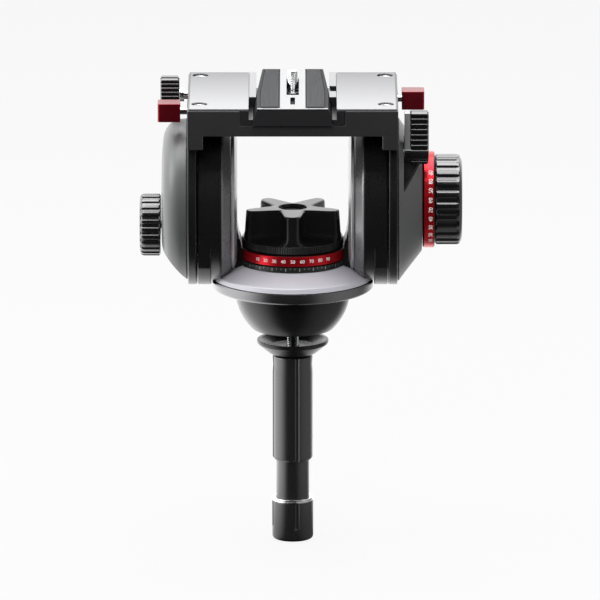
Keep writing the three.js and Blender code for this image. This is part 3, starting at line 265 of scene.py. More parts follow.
def anglesNear(marks, reach, plain=72, fine=14):
    # Even angles round a circle, closer together near the marks.
    near = (np.array(marks)[:, None] + np.linspace(-reach, reach, fine)[None, :]).ravel()
    far = np.arange(plain) * turn / plain
    apart = np.abs((far[:, None] - np.array(marks)[None, :] + math.pi) % turn - math.pi).min(1)
    return np.sort(np.concatenate([near, far[apart > reach * 1.15]]) % turn)


# Helpers for finishes.


class Wire:
    # One output of a finish's nodes, so that sums can be written as sums.
    def __init__(self, tree, socket):
        self.tree = tree
        self.socket = socket

    def maths(self, operation, *others):
        inputs = {i: v for i, v in enumerate((self, *others))}
        return node(self.tree, "ShaderNodeMath", {"operation": operation}, inputs)

    def __add__(self, other):
        return self.maths("ADD", other)

    def __mul__(self, other):
        return self.maths("MULTIPLY", other)

    def __sub__(self, other):
        return self.maths("SUBTRACT", other)

    def __truediv__(self, other):
        return self.maths("DIVIDE", other)

    def __gt__(self, other):
        return self.maths("GREATER_THAN", other)

    def __lt__(self, other):
        return self.maths("LESS_THAN", other)


def node(tree, kind, settings=None, inputs=None, output=0):
    # Adds a node, sets it, then gives its sockets values or wires.
    made = tree.nodes.new(kind)
    for key, value in (settings or {}).items():
        setattr(made, key, value)
    for key, value in (inputs or {}).items():
        socket = made.inputs[key]
        if isinstance(value, Wire):
            tree.links.new(value.socket, socket)
        else:
            socket.default_value = value
    return Wire(tree, made.outputs[output])


def ramp(tree, value, low, high, start, end):
    # start where value is low, end where it is high, with a smooth step between.
    return node(
        tree, "ShaderNodeMapRange", {"interpolation_type": "SMOOTHSTEP"},
        {"Value": value, "From Min": low, "From Max": high, "To Min": start, "To Max": end},
    )


class Finish:
    # A material with one principled shader, and the parts that most finishes share.
    def __init__(self, name, colour, roughness, metallic=0.0, specular=0.5, coat=0.0):
        self.material = bpy.data.materials.new(name)
        self.material.use_nodes = True
        self.tree = self.material.node_tree
        self.shader = self.tree.nodes["Principled BSDF"]
        self.colour = colour
        self.roughness = roughness
        self.set("Base Color", (*colour, 1.0))
        self.set("Roughness", roughness)
        self.set("Metallic", metallic)
        self.set("Specular IOR Level", specular)
        self.set("Coat Weight", coat)
        self.set("Coat Roughness", 0.12)
        where = self.tree.nodes.new("ShaderNodeTexCoord")
        self.where = Wire(self.tree, where.outputs["Object"])
        parts = self.tree.nodes.new("ShaderNodeSeparateXYZ")
        self.tree.links.new(self.where.socket, parts.inputs[0])
        self.x, self.y, self.z = (Wire(self.tree, parts.outputs[i]) * 1000.0 for i in range(3))

    def set(self, key, value):
        if isinstance(value, Wire):
            self.tree.links.new(value.socket, self.shader.inputs[key])
        else:
            self.shader.inputs[key].default_value = value
        return self

    def noise(self, size, detail=3.0, stretch=(1, 1, 1)):
        # A noise whose patches are about size millimetres across, stretched along the axes.
        scaled = node(
            self.tree, "ShaderNodeVectorMath", {"operation": "MULTIPLY"},
            {0: self.where, 1: tuple(1000.0 / (size * s) for s in stretch)},
        )
        return node(
            self.tree, "ShaderNodeTexNoise", {},
            {"Vector": scaled, "Scale": 1.0, "Detail": detail, "Roughness": 0.5},
        )

    def mixed(self, mask, first, second):
        # first where mask is 0, second where it is 1. Either may be a colour or a wire.
        pair = [c if isinstance(c, Wire) else (*c, 1.0) for c in (first, second)]
        inputs = {"Factor": mask, 6: pair[0], 7: pair[1]}
        return node(self.tree, "ShaderNodeMix", {"data_type": "RGBA"}, inputs, output=2)

    def bump(self, height, strength, depth):
        # depth is the height of the relief in millimetres.
        made = node(
            self.tree, "ShaderNodeBump", {},
            {"Strength": strength, "Distance": depth * mm, "Height": height},
        )
        return self.set("Normal", made)

    def grained(self, size=0.5, strength=0.25, depth=0.03, spread=0.12, patch=18.0, shade=0.1):
        # Fine relief, a little patchiness in the roughness and in the colour.
        fine = self.noise(size, 2.0)
        wide = self.noise(patch, 4.0)
        self.bump(fine + wide * 0.15, strength, depth)
        self.set("Roughness", wide * (2 * spread) + fine * 0.05 + (self.roughness - spread - 0.025))
        dark = tuple(c * (1 - shade) for c in self.colour)
        light = tuple(min(1.0, c * (1 + shade)) for c in self.colour)
        self.set("Base Color", self.mixed(wide, dark, light))
        return self

    def radiusFrom(self, axis, centre):
        # Distance from an axis that runs through centre, in millimetres.
        a, b = {"x": (self.y, self.z), "y": (self.x, self.z), "z": (self.x, self.y)}[axis]
        side, up = a - float(centre[0]), b - float(centre[1])
        return (side * side + up * up).maths("SQRT")

    def angleRound(self, axis, centre):
        # Angle round an axis, from 0 to 1 over a whole turn.
        a, b = {"x": (self.y, self.z), "y": (self.x, self.z), "z": (self.x, self.y)}[axis]
        side, up = a - float(centre[0]), b - float(centre[1])
        return up.maths("ARCTAN2", side) / turn + 0.5

    def turnedMarks(self, axis, centre, size=0.25, strength=0.12, depth=0.02):
        # Fine rings that a lathe leaves: a noise of the radius and of the place along the axis.
        along = {"x": self.x, "y": self.y, "z": self.z}[axis]
        radius = self.radiusFrom(axis, centre)
        both = node(self.tree, "ShaderNodeCombineXYZ", {}, {0: along / size, 1: radius / size})
        rings = node(
            self.tree, "ShaderNodeTexNoise", {"noise_dimensions": "2D"},
            {"Vector": both, "Scale": 1.0, "Detail": 2.0},
        )
        self.bump(rings, strength, depth)
        self.set("Roughness", rings * 0.12 + (self.roughness - 0.06))
        return self


def between(value, low, high):
    return (value > low) * (value < high)


# Finishes.

jetBlack = (0.006, 0.006, 0.0065)

blackPaint = Finish("black satin paint", jetBlack, 0.28, specular=0.35)
blackPaint.grained(0.7, 0.1, 0.02, 0.05)
darkPaint = Finish("dark metallic paint", (0.075, 0.077, 0.077), 0.42, 0.25, 0.6)
darkPaint.grained(0.45, 0.08, 0.02, 0.03, 25.0, 0.05)
flangePaint = Finish("grey flange paint", (0.17, 0.17, 0.175), 0.26, 0.95, 0.5)
flangePaint.grained(0.45, 0.06, 0.01, 0.03, 25.0, 0.05)
# The cone's pale tone is partly painted sheen: the casting is a darker grey, and the pale colour stands in
# for the bright band that its turned face reflects at the front.
conePaintSheen = Finish("violet-grey paint, pale as painted sheen", (0.54, 0.53, 0.58), 0.42, 0.15, 0.5)
conePaintSheen.turnedMarks("z", (0, 0), 0.4, 0.15, 0.02)
blackPlastic = Finish("black moulding", jetBlack, 0.24, specular=0.5)
blackPlastic.grained(0.5, 0.08, 0.02, 0.04)
blackRubber = Finish("black rubber", jetBlack, 0.2, specular=1.0)
blackRubber.grained(0.35, 0.08, 0.02, 0.03)
# The deck's black is lighter than the other black paint: painted light, for the grey that its lit front face
# shows.
deckPaintLit = Finish("deck paint lightened as painted light", (0.02, 0.02, 0.021), 0.3, specular=0.35)
deckPaintLit.grained(0.7, 0.1, 0.02, 0.05)


def drumFinish():
    # Black paint, with a brighter metallic strip on the rounded inner edge of each drum: a painted highlight,
    # standing in for the reflection that runs down that edge.
    made = Finish("drum paint with painted highlight", jetBlack, 0.28, specular=0.35).grained(0.7, 0.1, 0.02, 0.05)
    inwards = ramp(made.tree, made.x.maths("ABSOLUTE"), 60.6, 61.6, 1.0, 0.0)
    paintedHighlight = inwards * ramp(made.tree, made.radiusFrom("x", (0, tiltHeight)), 60.0, 61.5, 0.0, 1.0)
    # Painted highlight: the strip's colour is lighter and more metallic than the black paint.
    made.set("Base Color", made.mixed(paintedHighlight, jetBlack, (0.15, 0.15, 0.153)))
    return made.set("Metallic", paintedHighlight * 0.7)


drumPaintHighlighted = drumFinish()
gripPlastic = Finish("tie-down moulding", (0.012, 0.012, 0.013), 0.25, specular=0.8)
gripPlastic.grained(0.4, 0.1, 0.02, 0.04)
paleSatin = Finish("pale satin aluminium", (0.4, 0.4, 0.41), 0.34, 0.6, 0.5)
paleSatin.grained(0.3, 0.12, 0.02, 0.04)
padRubber = Finish("grey rubber", (0.05, 0.051, 0.053), 0.75, specular=0.2)
padRubber.grained(0.4, 0.3, 0.04, 0.05)
silverFinish = Finish("bright plate", (0.78, 0.78, 0.79), 0.2, 1.0)
silverFinish.grained(0.6, 0.06, 0.01, 0.04)
steelFinish = Finish("turned steel", (0.52, 0.53, 0.54), 0.28, 1.0)
steelFinish.grained(0.5, 0.1, 0.02, 0.05)
bronzeFinish = Finish("turned bronze", (0.45, 0.3, 0.13), 0.32, 1.0)
bronzeFinish.grained(0.5, 0.1, 0.02, 0.05)


def panelFinish():
    # Light satin sheet with fine brushing across the deck and a darker band along its outer edges. Its colour
    # is painted lighter from the back to the front: a painted reflection, standing in for the sheen that the
    # top catches towards the front.
    made = Finish("light satin sheet", (0.3, 0.3, 0.31), 0.4, 0.0, 0.2)
    brushed = made.noise(0.35, 3.0, (40, 1, 1))
    wide = made.noise(30.0, 4.0)
    border = (made.y.maths("ABSOLUTE") > 72.8) + (made.x.maths("ABSOLUTE") > 88.4)
    edge = border.maths("MINIMUM", 1.0)
    # Painted reflection: the base colour grows lighter towards the front edge.
    depth = (made.y / -150.0 + 0.5 + wide * 0.1).maths("SMOOTH_MIN", 1.0, 0.2)
    base = made.mixed(depth, (0.11, 0.11, 0.115), (0.27, 0.27, 0.278))
    made.set("Base Color", made.mixed(edge * 0.7, base, (0.04, 0.04, 0.042)))
    made.set("Roughness", brushed * 0.1 + wide * 0.06 + 0.33)
    return made.bump(brushed, 0.12, 0.02)


def redFinish(name, axis, centre, bright=None, paintedShadeFactor=1.0):
    # Red anodising over turned aluminium. bright gives the places along the axis between the rounded edges,
    # which are painted near-black: painted shade, where the edges turn away from the light.
    made = Finish(name, (0.5, 0.006, 0.012), 0.27, 0.75, 0.5).turnedMarks(axis, centre)
    wide = made.noise(14.0, 3.0)
    # paintedShadeFactor below 1 darkens the whole red: a shaded copy, painted shade.
    colour = made.mixed(wide, (0.42 * paintedShadeFactor, 0.004, 0.01), (0.6 * paintedShadeFactor, 0.01, 0.018))
    if bright:
        along = {"x": made.x, "z": made.z}[axis]
        # Painted shade: near-black outside the band, on the rounded edges.
        colour = made.mixed(between(along, *bright), (0.03, 0.004, 0.005), colour)
    return made.set("Base Color", colour)


def scaleFinish():
    # Black ring with fine pale degree lines, every fifth one longer.
    made = Finish("black scale ring", (0.014, 0.017, 0.015), 0.33, 0.2, 0.4).turnedMarks("z", (0, 0))
    share = made.angleRound("z", (0, 0))
    short = (((share * 72.0).maths("FRACT") - 0.5).maths("ABSOLUTE") < 0.06) * between(made.z, 25.9, 27.2)
    tall = (((share * 24.0).maths("FRACT") - 0.5).maths("ABSOLUTE") < 0.03) * between(made.z, 24.6, 27.2)
    line = (short + tall).maths("MINIMUM", 1.0) * (made.radiusFrom("z", (0, 0)) > 45.9)
    return made.set("Base Color", made.mixed(line * 0.55, (0.014, 0.017, 0.015), (0.5, 0.52, 0.5)))


def glassFinish():
    # Clear vial with a yellow-green fluid and the bubble's ring drawn on it.
    made = Finish("level vial", (0.62, 0.82, 0.3), 0.06, 0.0, 0.6, coat=0.5)
    centre = [(a + b) * 500 for a, b in zip(*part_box("level_vial"))]
    radius = made.radiusFrom("z", centre[:2])
    ring = between(radius, 2.2, 2.55)
    glow = made.noise(3.0, 2.0)
    base = made.mixed(glow, (0.5, 0.74, 0.2), (0.72, 0.9, 0.36))
    bubble = radius < 1.7
    base = made.mixed(bubble * 0.6, base, (0.9, 0.97, 0.8))
    return made.set("Base Color", made.mixed(ring, base, (0.02, 0.02, 0.02)))


def plateFinish():
    # Black plate whose top is bare satin metal between the two pads, and along its front edge, where the
    # satin is a painted highlight standing in for the bright line that the edge catches.
    made = Finish("camera plate", (0.012, 0.012, 0.013), 0.36, 0.0, 0.1)
    fine = made.noise(0.5, 2.0)
    brushed = made.noise(0.3, 3.0, (1, 40, 1))
    # The band at the front (y below -76.6) is a painted highlight; the strip between the pads is bare metal.
    bareTopAndFrontHighlight = (made.x.maths("ABSOLUTE") < 10.9) + (made.y < -76.6)
    bare = bareTopAndFrontHighlight.maths("MINIMUM", 1.0) * (made.z > 175.3)
    base = made.mixed(fine, (0.010, 0.010, 0.011), (0.015, 0.015, 0.016))
    metal = made.mixed(brushed, (0.3, 0.3, 0.305), (0.4, 0.4, 0.405))
    made.set("Base Color", made.mixed(bare, base, metal))
    made.set("Metallic", bare * 0.8)
    made.set("Roughness", fine * 0.08 + brushed * 0.06 + 0.5 - bare * 0.22)
    return made.bump(fine + brushed * bare, 0.15, 0.03)


def railFinish():
    # Black rails with a bare satin lip beside the plate.
    made = Finish("plate rail", (0.012, 0.012, 0.013), 0.36, 0.0, 0.35)
    fine = made.noise(0.5, 2.0)
    bare = made.z > 173.6
    base = made.mixed(fine, (0.010, 0.010, 0.011), (0.015, 0.015, 0.016))
    made.set("Base Color", made.mixed(bare, base, (0.2, 0.2, 0.206)))
    made.set("Metallic", bare * 0.1)
    made.set("Roughness", fine * 0.08 + 0.3)
    return made.bump(fine, 0.15, 0.03)


panelSheet = panelFinish()
panRed = redFinish("red pan ring", "z", (0, 0), (28.9, 37.3))
tiltRed = redFinish("red tilt ring", "x", (0, tiltHeight), (113.1, 121.3))
# The tabs get a darker copy of the red: painted shade, matching their shadowed front faces.
tabRedShaded = redFinish("red tab in painted shade", "x", (0, 162.0), paintedShadeFactor=0.35)
scaleBlack = scaleFinish()
vialGlass = glassFinish()
plateBlack = plateFinish()
railBlack = railFinish()
print("finishes ready")


# Ball, flange and tie-down.

ball = {"radius": 50.0, "depth": 36.0, "hollow": 29.0, "roof": 12.0, "boss": 13.0, "bossBottom": -30.0}


def makeBall():
    fall = np.linspace(-math.asin(0.3 / ball["radius"]), -math.asin(ball["depth"] / ball["radius"]), 22)
    arc = [(ball["radius"] * math.cos(a), ball["radius"] * math.sin(a), 0) for a in fall]
    arc[-1] = (*arc[-1][:2], 0.7)
    inner = [
        (ball["hollow"], -ball["depth"], 1.0), (ball["hollow"], -ball["roof"], 1.5),
        (ball["boss"], -ball["roof"], 1.5), (ball["boss"], ball["bossBottom"], 0.8),
        (5.3, ball["bossBottom"], 0.4), (5.3, -14.3, 0), (10.3, -14.3, 0), (10.3, -0.3, 0),
    ]
    return turned("ball_shell", arc + inner, sides=128, closed=True)


dress(makeBall(), "ball_base", "black_casting", blackPaint.material, "half_ball")

flangeCorners = [
    (10.3, 0, 0), (67.9, 0, 0.8), (69.7, 1.8, 0.8), (69.7, 5.5, 1.5), (69.05, 9.2, 0.15),
    (24.0, 9.2, 0), (24.0, 16.0, 0.5), (10.3, 16.0, 0),
]
flange = turned("flange_disc", flangeCorners, sides=160, closed=True)
dress(flange, "ball_base", "dark_casting", flangePaint.material, "base_flange")

cupCorners = [
    (5.6, -58, 0.4), (20, -58, 1.5), (31, -49, 1.2), (31, -46, 0.8),
    (28, -46, 0.8), (18, -52, 1.5), (5.6, -52, 0.4),
]
cup = turned("clamp_dish", cupCorners, sides=96, closed=True)
dress(cup, "clamp_cup", "black_casting", blackPaint.material, "tie_down_cup")


def threaded(name, radius, depth, pitch, low, high, centre=(0, 0, 0), sides=36, perPitch=6):
    # radius(angle, z) = radius - depth * triangle(z / pitch - angle / turn), faded out at the ends
    rows = int((high - low) / pitch * perPitch) + 1
    z = np.linspace(low, high, rows)[:, None]
    angle = (np.arange(sides) * turn / sides)[None, :]
    phase = (z / pitch - angle / turn) % 1.0
    tooth = np.abs(phase - 0.5) * 2
    fade = smoothStep(0, 1.2, z - low) * smoothStep(0, 1.0, high - z)
    ends = 0.6 * (1 - smoothStep(0, 0.8, high - z)) + 0.6 * (1 - smoothStep(0, 0.8, z - low))
    full = radius - depth * tooth * fade - ends
    return gridPiece(name, roundAxis(full, z, angle, "z", centre), sharp=50)


stud = threaded("tie_down_thread", 5.0, 0.7, 1.75, -80.3, -14.3)
dress(stud, "ball_base", "steel", steelFinish.material, "tie_down_stud")

handle = {
    "radius": 17.4, "top": -58.6, "bottom": -153.1, "bore": 14.9, "boreTop": -91.9,
    "knobRadius": 17.8, "knobTop": -189.8, "knobBottom": -224.0,
}
handleMarks = np.radians([-78.0, 12.0, 102.0, 192.0])
fluteRadius, fluteDeep = 2.6, 1.5


def makeGrip():
    # Flutes run the whole length of the grip, and a soft waist near its top takes the fingers.
    def wave(radius, place, angle):
        outer = radius > handle["radius"] - 2.6
        waist = 0.5 * np.exp(-((place + 68.0) / 4.0) ** 2)
        cutIn = fluteDepth(angle, handleMarks, handle["radius"], fluteRadius, fluteDeep)
        return np.where(outer, radius - cutIn - waist, radius)

    side, bore, low, high = (handle[key] for key in ("radius", "bore", "bottom", "top"))
    corners = [(5.6, handle["boreTop"], 0), (bore, handle["boreTop"], 0), (bore, low, 0.3)]
    corners += [(side - 1.8, low, 0.3), (side, low + 2.2, 1.0)]
    corners += [(side, place, 0) for place in (-120.0, -90.0, -76.0, -72.0, -68.0, -64.0)]
    corners += [(side, high - 2.0, 1.2), (14.6, high, 0.8), (5.6, high, 0.3)]
    angles = anglesNear(handleMarks, 0.16)
    return turned("grip_sleeve", corners, closed=True, wave=wave, angles=angles)


dress(makeGrip(), "tie_down_handle", "black_plastic", gripPlastic.material, "tie_down_grip")

neckCorners = [(11.3, -189.5, 0), (14.3, -189.5, 0.3), (14.3, -120.5, 0.3), (11.3, -120.5, 0)]
neck = turned("neck_tube", neckCorners, sides=80, closed=True)
dress(neck, "handle_extension", "black_casting", gripPlastic.material, "extension_tube")

ringCorners = [
    (14.5, -189.5, 0), (18.0, -189.5, 0.4), (18.0, -188.4, 0.2), (17.2, -188.1, 0.15),
    (17.8, -187.8, 0.2), (17.8, -186.5, 0.5), (14.5, -186.5, 0.3),
]
silverRing = turned("handle_ring", ringCorners, sides=96, closed=True)
dress(silverRing, "handle_extension", "silver", silverFinish.material, "end_ring")


def makeEndKnob():
    # The flutes fade out above the rounded bottom.
    def wave(radius, place, angle):
        cutIn = fluteDepth(angle, handleMarks, handle["knobRadius"], fluteRadius, fluteDeep)
        low = handle["knobBottom"] + 10.0
        return radius - cutIn * smoothStep(low - 0.2, low + 2.4, place) * (radius > 10)

    side, low, high = handle["knobRadius"], handle["knobBottom"], handle["knobTop"]
    corners = [(0, low, 0), (10.8, low, 0), (side, low, 7.0)]
    corners += [(side, place, 0) for place in (-213.9, -213.2, -212.4, -211.6, -200.0)]
    corners += [(side, high, 0.7), (0, high, 0)]
    return turned("handle_knob", corners, wave=wave, angles=anglesNear(handleMarks, 0.16), steps=7)


dress(makeEndKnob(), "handle_extension", "black_plastic", gripPlastic.material, "end_knob")
print("tie-down and ball ready")


# Pan stack.

housingCorners = [
    (24.6, 9.8, 0), (69.0, 9.8, 0.15), (69.0, 14.0, 0.5), (68.3, 14.7, 0.6),
    (47.4, 22.4, 0.5), (46.3, 22.8, 0.4), (31.0, 22.8, 0), (31.0, 43.3, 0.6), (27.0, 43.3, 0.6),
    (27.0, 27.8, 0), (10.6, 27.8, 0), (10.6, 20.6, 0), (24.6, 20.6, 0),
]
housing = turned("pan_cone", housingCorners, sides=160, closed=True)
dress(housing, "pan_frame", "dark_casting", conePaintSheen.material, "pan_housing")

panRingRadius = 46.5
scaleCorners = [(31.3, 23.1, 0), (panRingRadius, 23.1, 0.3), (panRingRadius, 27.8, 0.5), (31.3, 27.8, 0)]
scaleRing = turned("scale_ring", scaleCorners, sides=144, closed=True)
dress(scaleRing, "pan_frame", "black_plastic", scaleBlack.material, "pan_scale_ring")

redCorners = [
    (31.6, 28.4, 0), (46.0, 28.4, 0.2), (panRingRadius, 28.9, 0.2),
    (panRingRadius, 37.2, 0.4), (45.8, 37.9, 0.3), (31.6, 37.9, 0),
]
panRing = turned("pan_red_ring", redCorners, sides=144, closed=True)
dress(panRing, "pan_drag", "red_metal", panRed.material, "pan_drag_ring")

star = {
    "base": 38.2, "skirtTop": 45.2, "top": 71.2, "tip": 41.4, "hub": 17.5, "lobes": 5,
    "flank": 11.5, "narrow": 0.11, "ribs": 132, "dish": 12.0, "dishDepth": 3.0,
}


def softLeast(a, b, power=9.0):
    # A smooth stand-in for the smaller of two lengths.
    return (a ** -power + b ** -power) ** (-1 / power)


def starReach(angle, tip, grow=0.0):
    # reach = least of the tip and flank / (sin a + narrow cos a), with a from the lobe's middle, and
    # never less than the hub. The valleys between lobes are rounded by a smooth greatest.
    pitch = turn / star["lobes"]
    away = np.abs((angle + turn / 4 + pitch / 2) % pitch - pitch / 2)
    flank = (star["flank"] + grow) / (np.sin(away) + star["narrow"] * np.cos(away))
    valley = star["hub"] + grow * 1.5
    inner = (flank ** 7 + valley ** 7) ** (1 / 7)
    return softLeast(inner, tip + 0 * angle)


def makeStar():
    # Rows go up the skirt, in over its sloping top with a fillet at the lobes' foot, up the lobes, over
    # their rounded edge and into the dish.
    angle = np.linspace(0, turn, 600, endpoint=False)[None, :]
    low, shoulder, high = star["base"], star["skirtTop"], star["top"]
    rim = roundedLine([
        (31.6, low, 0), (43.6, low, 0.3), (44.0, low + 0.5, 0.3),
        (44.0, shoulder - 0.5, 0.3), (43.5, shoulder, 0.4), (43.3, shoulder + 0.05, 0),
    ], 3)
    ribbed = ribHeight(angle * star["ribs"] / turn, 0.5, 0.3) - 1
    skirt = rim[:, :1] + 0.5 * ribbed * (rim[:, :1] > 43.55)
    rows = [roundAxis(skirt, rim[:, 1:] + 0 * angle, angle, "z", (0, 0, 0))]
    # (share of the way from the skirt's rim to the lobe's foot, height above the skirt's top, widening)
    fillet = ((0.25, 0.5, 3.0), (0.55, 1.1, 3.0), (0.8, 1.9, 2.6), (0.93, 3.0, 1.6), (1.0, 5.0, 0.5))
    for share, rise, grow in fillet:
        foot = starReach(angle, 43.2, grow)
        reach = 43.3 + (foot - 43.3) * share
        rows.append(roundAxis(reach, shoulder + rise + 0 * reach, angle, "z", (0, 0, 0))[None, 0])
    edge = roundedLine([
        (0.0, 52.0, 0), (0.0, 58.0, 0), (0.0, 64.0, 0), (0.0, high, 3.4), (-6.0, high, 0),
    ], 7)
    for inset, z in edge[:-1]:
        tip = 43.2 + (star["tip"] - 43.2) * (z - shoulder) / (high - shoulder)
        reach = starReach(angle, tip, inset * 0.85) + inset * 0.15
        reach = np.where(reach > star["dish"] + 1, reach, star["dish"] + 1)
        rows.append(roundAxis(reach, z + 0 * reach, angle, "z", (0, 0, 0))[None, 0])
    dishFloor = high - star["dishDepth"]
    top = roundedLine([
        (star["dish"] + 1.6, high, 0), (star["dish"] + 0.4, high - 0.1, 0.3),
        (star["dish"] - 0.5, dishFloor, 0.5), (star["dish"] * 0.55, dishFloor, 0), (0.01, dishFloor + 0.3, 0),
    ], 4)
    last = starReach(angle, star["tip"], -5.1) - 0.9
    least = star["dish"] + 1.6
    rows.append(roundAxis(np.maximum(last, least), high + 0 * last, angle, "z", (0, 0, 0))[None, 0])
    rows.append(roundAxis(top[:, :1] + 0 * angle, top[:, 1:] + 0 * angle, angle, "z", (0, 0, 0)))
    grid = np.concatenate([r if r.ndim == 3 else r[None] for r in rows])
    return gridPiece("star_knob", grid, sharp=50)


dress(makeStar(), "pan_drag", "black_plastic", blackPlastic.material, "pan_drag_knob")

levelLow, levelHigh = (np.array(v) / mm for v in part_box("level_housing"))
levelMid = (levelLow + levelHigh) / 2
levelTop = levelHigh[2]
levelCorners = [
    (0, levelLow[2], 0), (7.6, levelLow[2], 0), (7.6, levelTop, 0.6), (5.8, levelTop, 0.4),
    (5.8, levelTop - 4.3, 0), (0, levelTop - 4.3, 0),
]
levelCup = turned("level_cup", levelCorners, centre=(levelMid[0], levelMid[1], 0), sides=64)
dress(levelCup, "pan_frame", "black_plastic", blackPlastic.material, "level_housing")
vialCorners = [
    (0, levelTop - 4, 0), (5.5, levelTop - 4, 0), (5.5, levelTop - 0.6, 0.5),
    (3.0, levelTop - 0.1, 1.0), (0, levelTop, 0),
]
vial = turned("level_glass", vialCorners, centre=(levelMid[0], levelMid[1], 0), sides=64)
dress(vial, "pan_frame", "vial_glass", vialGlass.material, "level_vial")

panLock = {"hub": 4.6, "end": 74.3, "height": 14.4, "arm": 34.0, "thick": 8.0, "tip": 3.2}


def makePanLock():
    # The arm is a stadium outline whose half width runs from the hub's radius to the tip's.
    low, high = panLock["height"], panLock["height"] + panLock["arm"]
    a = np.linspace(math.pi, turn, 25)
    b = np.linspace(0, math.pi, 17)
    foot = np.stack([panLock["hub"] * np.cos(a), low + panLock["hub"] * np.sin(a)], -1)
    head = np.stack([panLock["tip"] * np.cos(b), high - panLock["tip"] + panLock["tip"] * np.sin(b)], -1)
    start = panLock["end"] - panLock["thick"] / 2
    arm = prism("pan_lock_arm", np.vstack([foot, head]), "y", start, start + panLock["thick"], 1.6, 4)
    hubCorners = [
        (0, 24.6, 0), (2.6, 24.6, 0), (2.6, 69.3, 0),
        (panLock["hub"], 69.3, 0.4), (panLock["hub"], panLock["end"], 0), (0, panLock["end"], 0),
    ]
    hub = turned("pan_lock_hub", hubCorners, "y", (0, 0, low), 48)
    return gathered("pan_lock_grip", [arm, hub])


dress(makePanLock(), "pan_lock", "black_plastic", blackRubber.material, "pan_lock_lever")
print("pan stack ready")


# Uprights, caps and cradle arms, round the tilt axis.

tiltAxis = (0, 0, tiltHeight)
drum = {
    "inner": 53.0, "outer": 82.0, "radius": 69.5, "round": 9.0, "floor": 9.8, "rim": 73.5, "rimStart": 70.3,
}


def flattened(grid, floor):
    # Points that would reach below the floor are lifted on to it.
    grid[..., 2] = np.maximum(grid[..., 2], floor)
    return grid


def makeUpright(name, side):
    corners = [
        (0, drum["inner"], 0), (drum["radius"] - drum["round"], drum["inner"], 0.6),
        (drum["radius"] - 7.4, drum["inner"] + 0.7, 0.8), (drum["radius"] - 0.9, drum["inner"] + 7.2, 2.0),
        (drum["radius"], drum["inner"] + 9.4, 1.6), (drum["radius"], drum["outer"] - 1.6, 1.4),
        (drum["radius"] - 1.6, drum["outer"], 0.8), (48.0, drum["outer"], 0.6),
        (47.0, drum["outer"] - 3, 0), (0, drum["outer"] - 3, 0),
    ]
    line = roundedLine(corners, 5)
    angle = np.linspace(0, turn, 240, endpoint=False)[None, :]
    grid = roundAxis(line[:, :1] + 0 * angle, side * line[:, 1:], angle, "x", tiltAxis)
    shell = gridPiece(name, flattened(grid, drum["floor"]))
    # The foot's outline (across, up) flares from the drum's face to the cone.
    back, face, reach = 54.0, 48.0, 42.0
    outline = [
        (back, 61.8), (face, 61.8), (face - 0.5, 55.0), (face - 1.8, 47.0), (face - 4.2, 40.0),
        (reach, 36.0), (reach, 12.5), (back, 12.5),
    ]
    foot = prism(name + "_foot", [(side * a, b) for a, b in outline], "y", -17.0, 17.0)
    roomCorners = [
        (0, 0, 0), (69.3, 0, 0), (69.3, 14.1, 0), (68.6, 15.0, 0), (46.9, 23.1, 0),
        (47.25, 23.1, 0), (47.25, 90, 0), (0, 90, 0),
    ]
    cutAway(foot, [turned(name + "_room", roomCorners, sides=160)])
    bevelEdges(foot, 1.0, 3)
    # The rim outside the flange: an arc, and straight lines that touch the drum.
    spread = math.radians(50)
    touch = spread + math.acos(drum["radius"] / drum["rim"])
    low = np.linspace(-spread, spread, 60) - turn / 4
    inner = np.linspace(touch, -touch, 60) - turn / 4
    rimLine = np.vstack([
        drum["radius"] * np.array([[math.cos(-touch - turn / 4), math.sin(-touch - turn / 4)]]),
        drum["rim"] * np.stack([np.cos(low), np.sin(low)], -1),
        drum["radius"] * np.array([[math.cos(touch - turn / 4), math.sin(touch - turn / 4)]]),
        (drum["radius"] - 2.0) * np.stack([np.cos(inner), np.sin(inner)], -1),
    ]) + np.array([0, tiltAxis[2]])
    ends = sorted((side * drum["rimStart"], side * drum["outer"]))
    rim = prism(name + "_rim", rimLine, "x", ends[0], ends[1], 0.8, 2)
    return gathered(name, [shell, foot, rim])


for side, word in bothSides:
    upright = makeUpright("drum_" + word, side)
    dress(upright, "pan_frame", "black_casting", drumPaintHighlighted.material, "upright_" + word)
    capCorners = [
        (0, 47.9, 0), (52.0, 48.0, 4.0), (59.0, 50.0, 2.0), (60.0, 50.8, 0.6), (60.0, 52.7, 0), (0, 52.7, 0),
    ]
    line = roundedLine(capCorners, 5)
    angle = np.linspace(0, turn, 200, endpoint=False)[None, :]
    grid = roundAxis(line[:, :1] + 0 * angle, side * line[:, 1:], angle, "x", tiltAxis)
    cap = gridPiece("cap_" + word, grid)
    across = sorted((side * 40.0, side * 60.0))
    gap = block("gap", (across[0], -17.4, 10.0), (across[1], 17.4, 62.1), 0)
    underCorners = [(0, 0, 0), (69.3, 0, 0), (69.3, 14.4, 0), (46.9, 23.1, 0), (47.3, 38.2, 0), (0, 38.2, 0)]
    under = turned("under", underCorners, sides=160)
    cutAway(cap, [gap, under])
    dress(cap, "pan_frame", "pale_casting", paleSatin.material, "inner_cap_" + word)

arm = {"inner": 82.6, "outer": 90.5, "radius": 73.5, "topHalf": 52.0, "top": 71.7}


def makeArm(name, side):
    # Straight sides from the deck down to the round part, which they touch without a corner.
    lean = math.acos(arm["radius"] / math.hypot(arm["topHalf"], arm["top"]))
    side0 = math.atan2(arm["top"], arm["topHalf"]) - lean
    a = np.linspace(math.pi - side0, turn + side0, 140)
    ring = np.stack([arm["radius"] * np.cos(a), tiltHeight + arm["radius"] * np.sin(a)], -1)
    top = tiltHeight + arm["top"]
    outline = np.vstack([[(arm["topHalf"], top), (-arm["topHalf"], top)], ring])
    ends = sorted((side * arm["inner"], side * arm["outer"]))
    return prism(name, outline, "x", ends[0], ends[1], 1.3, 3)


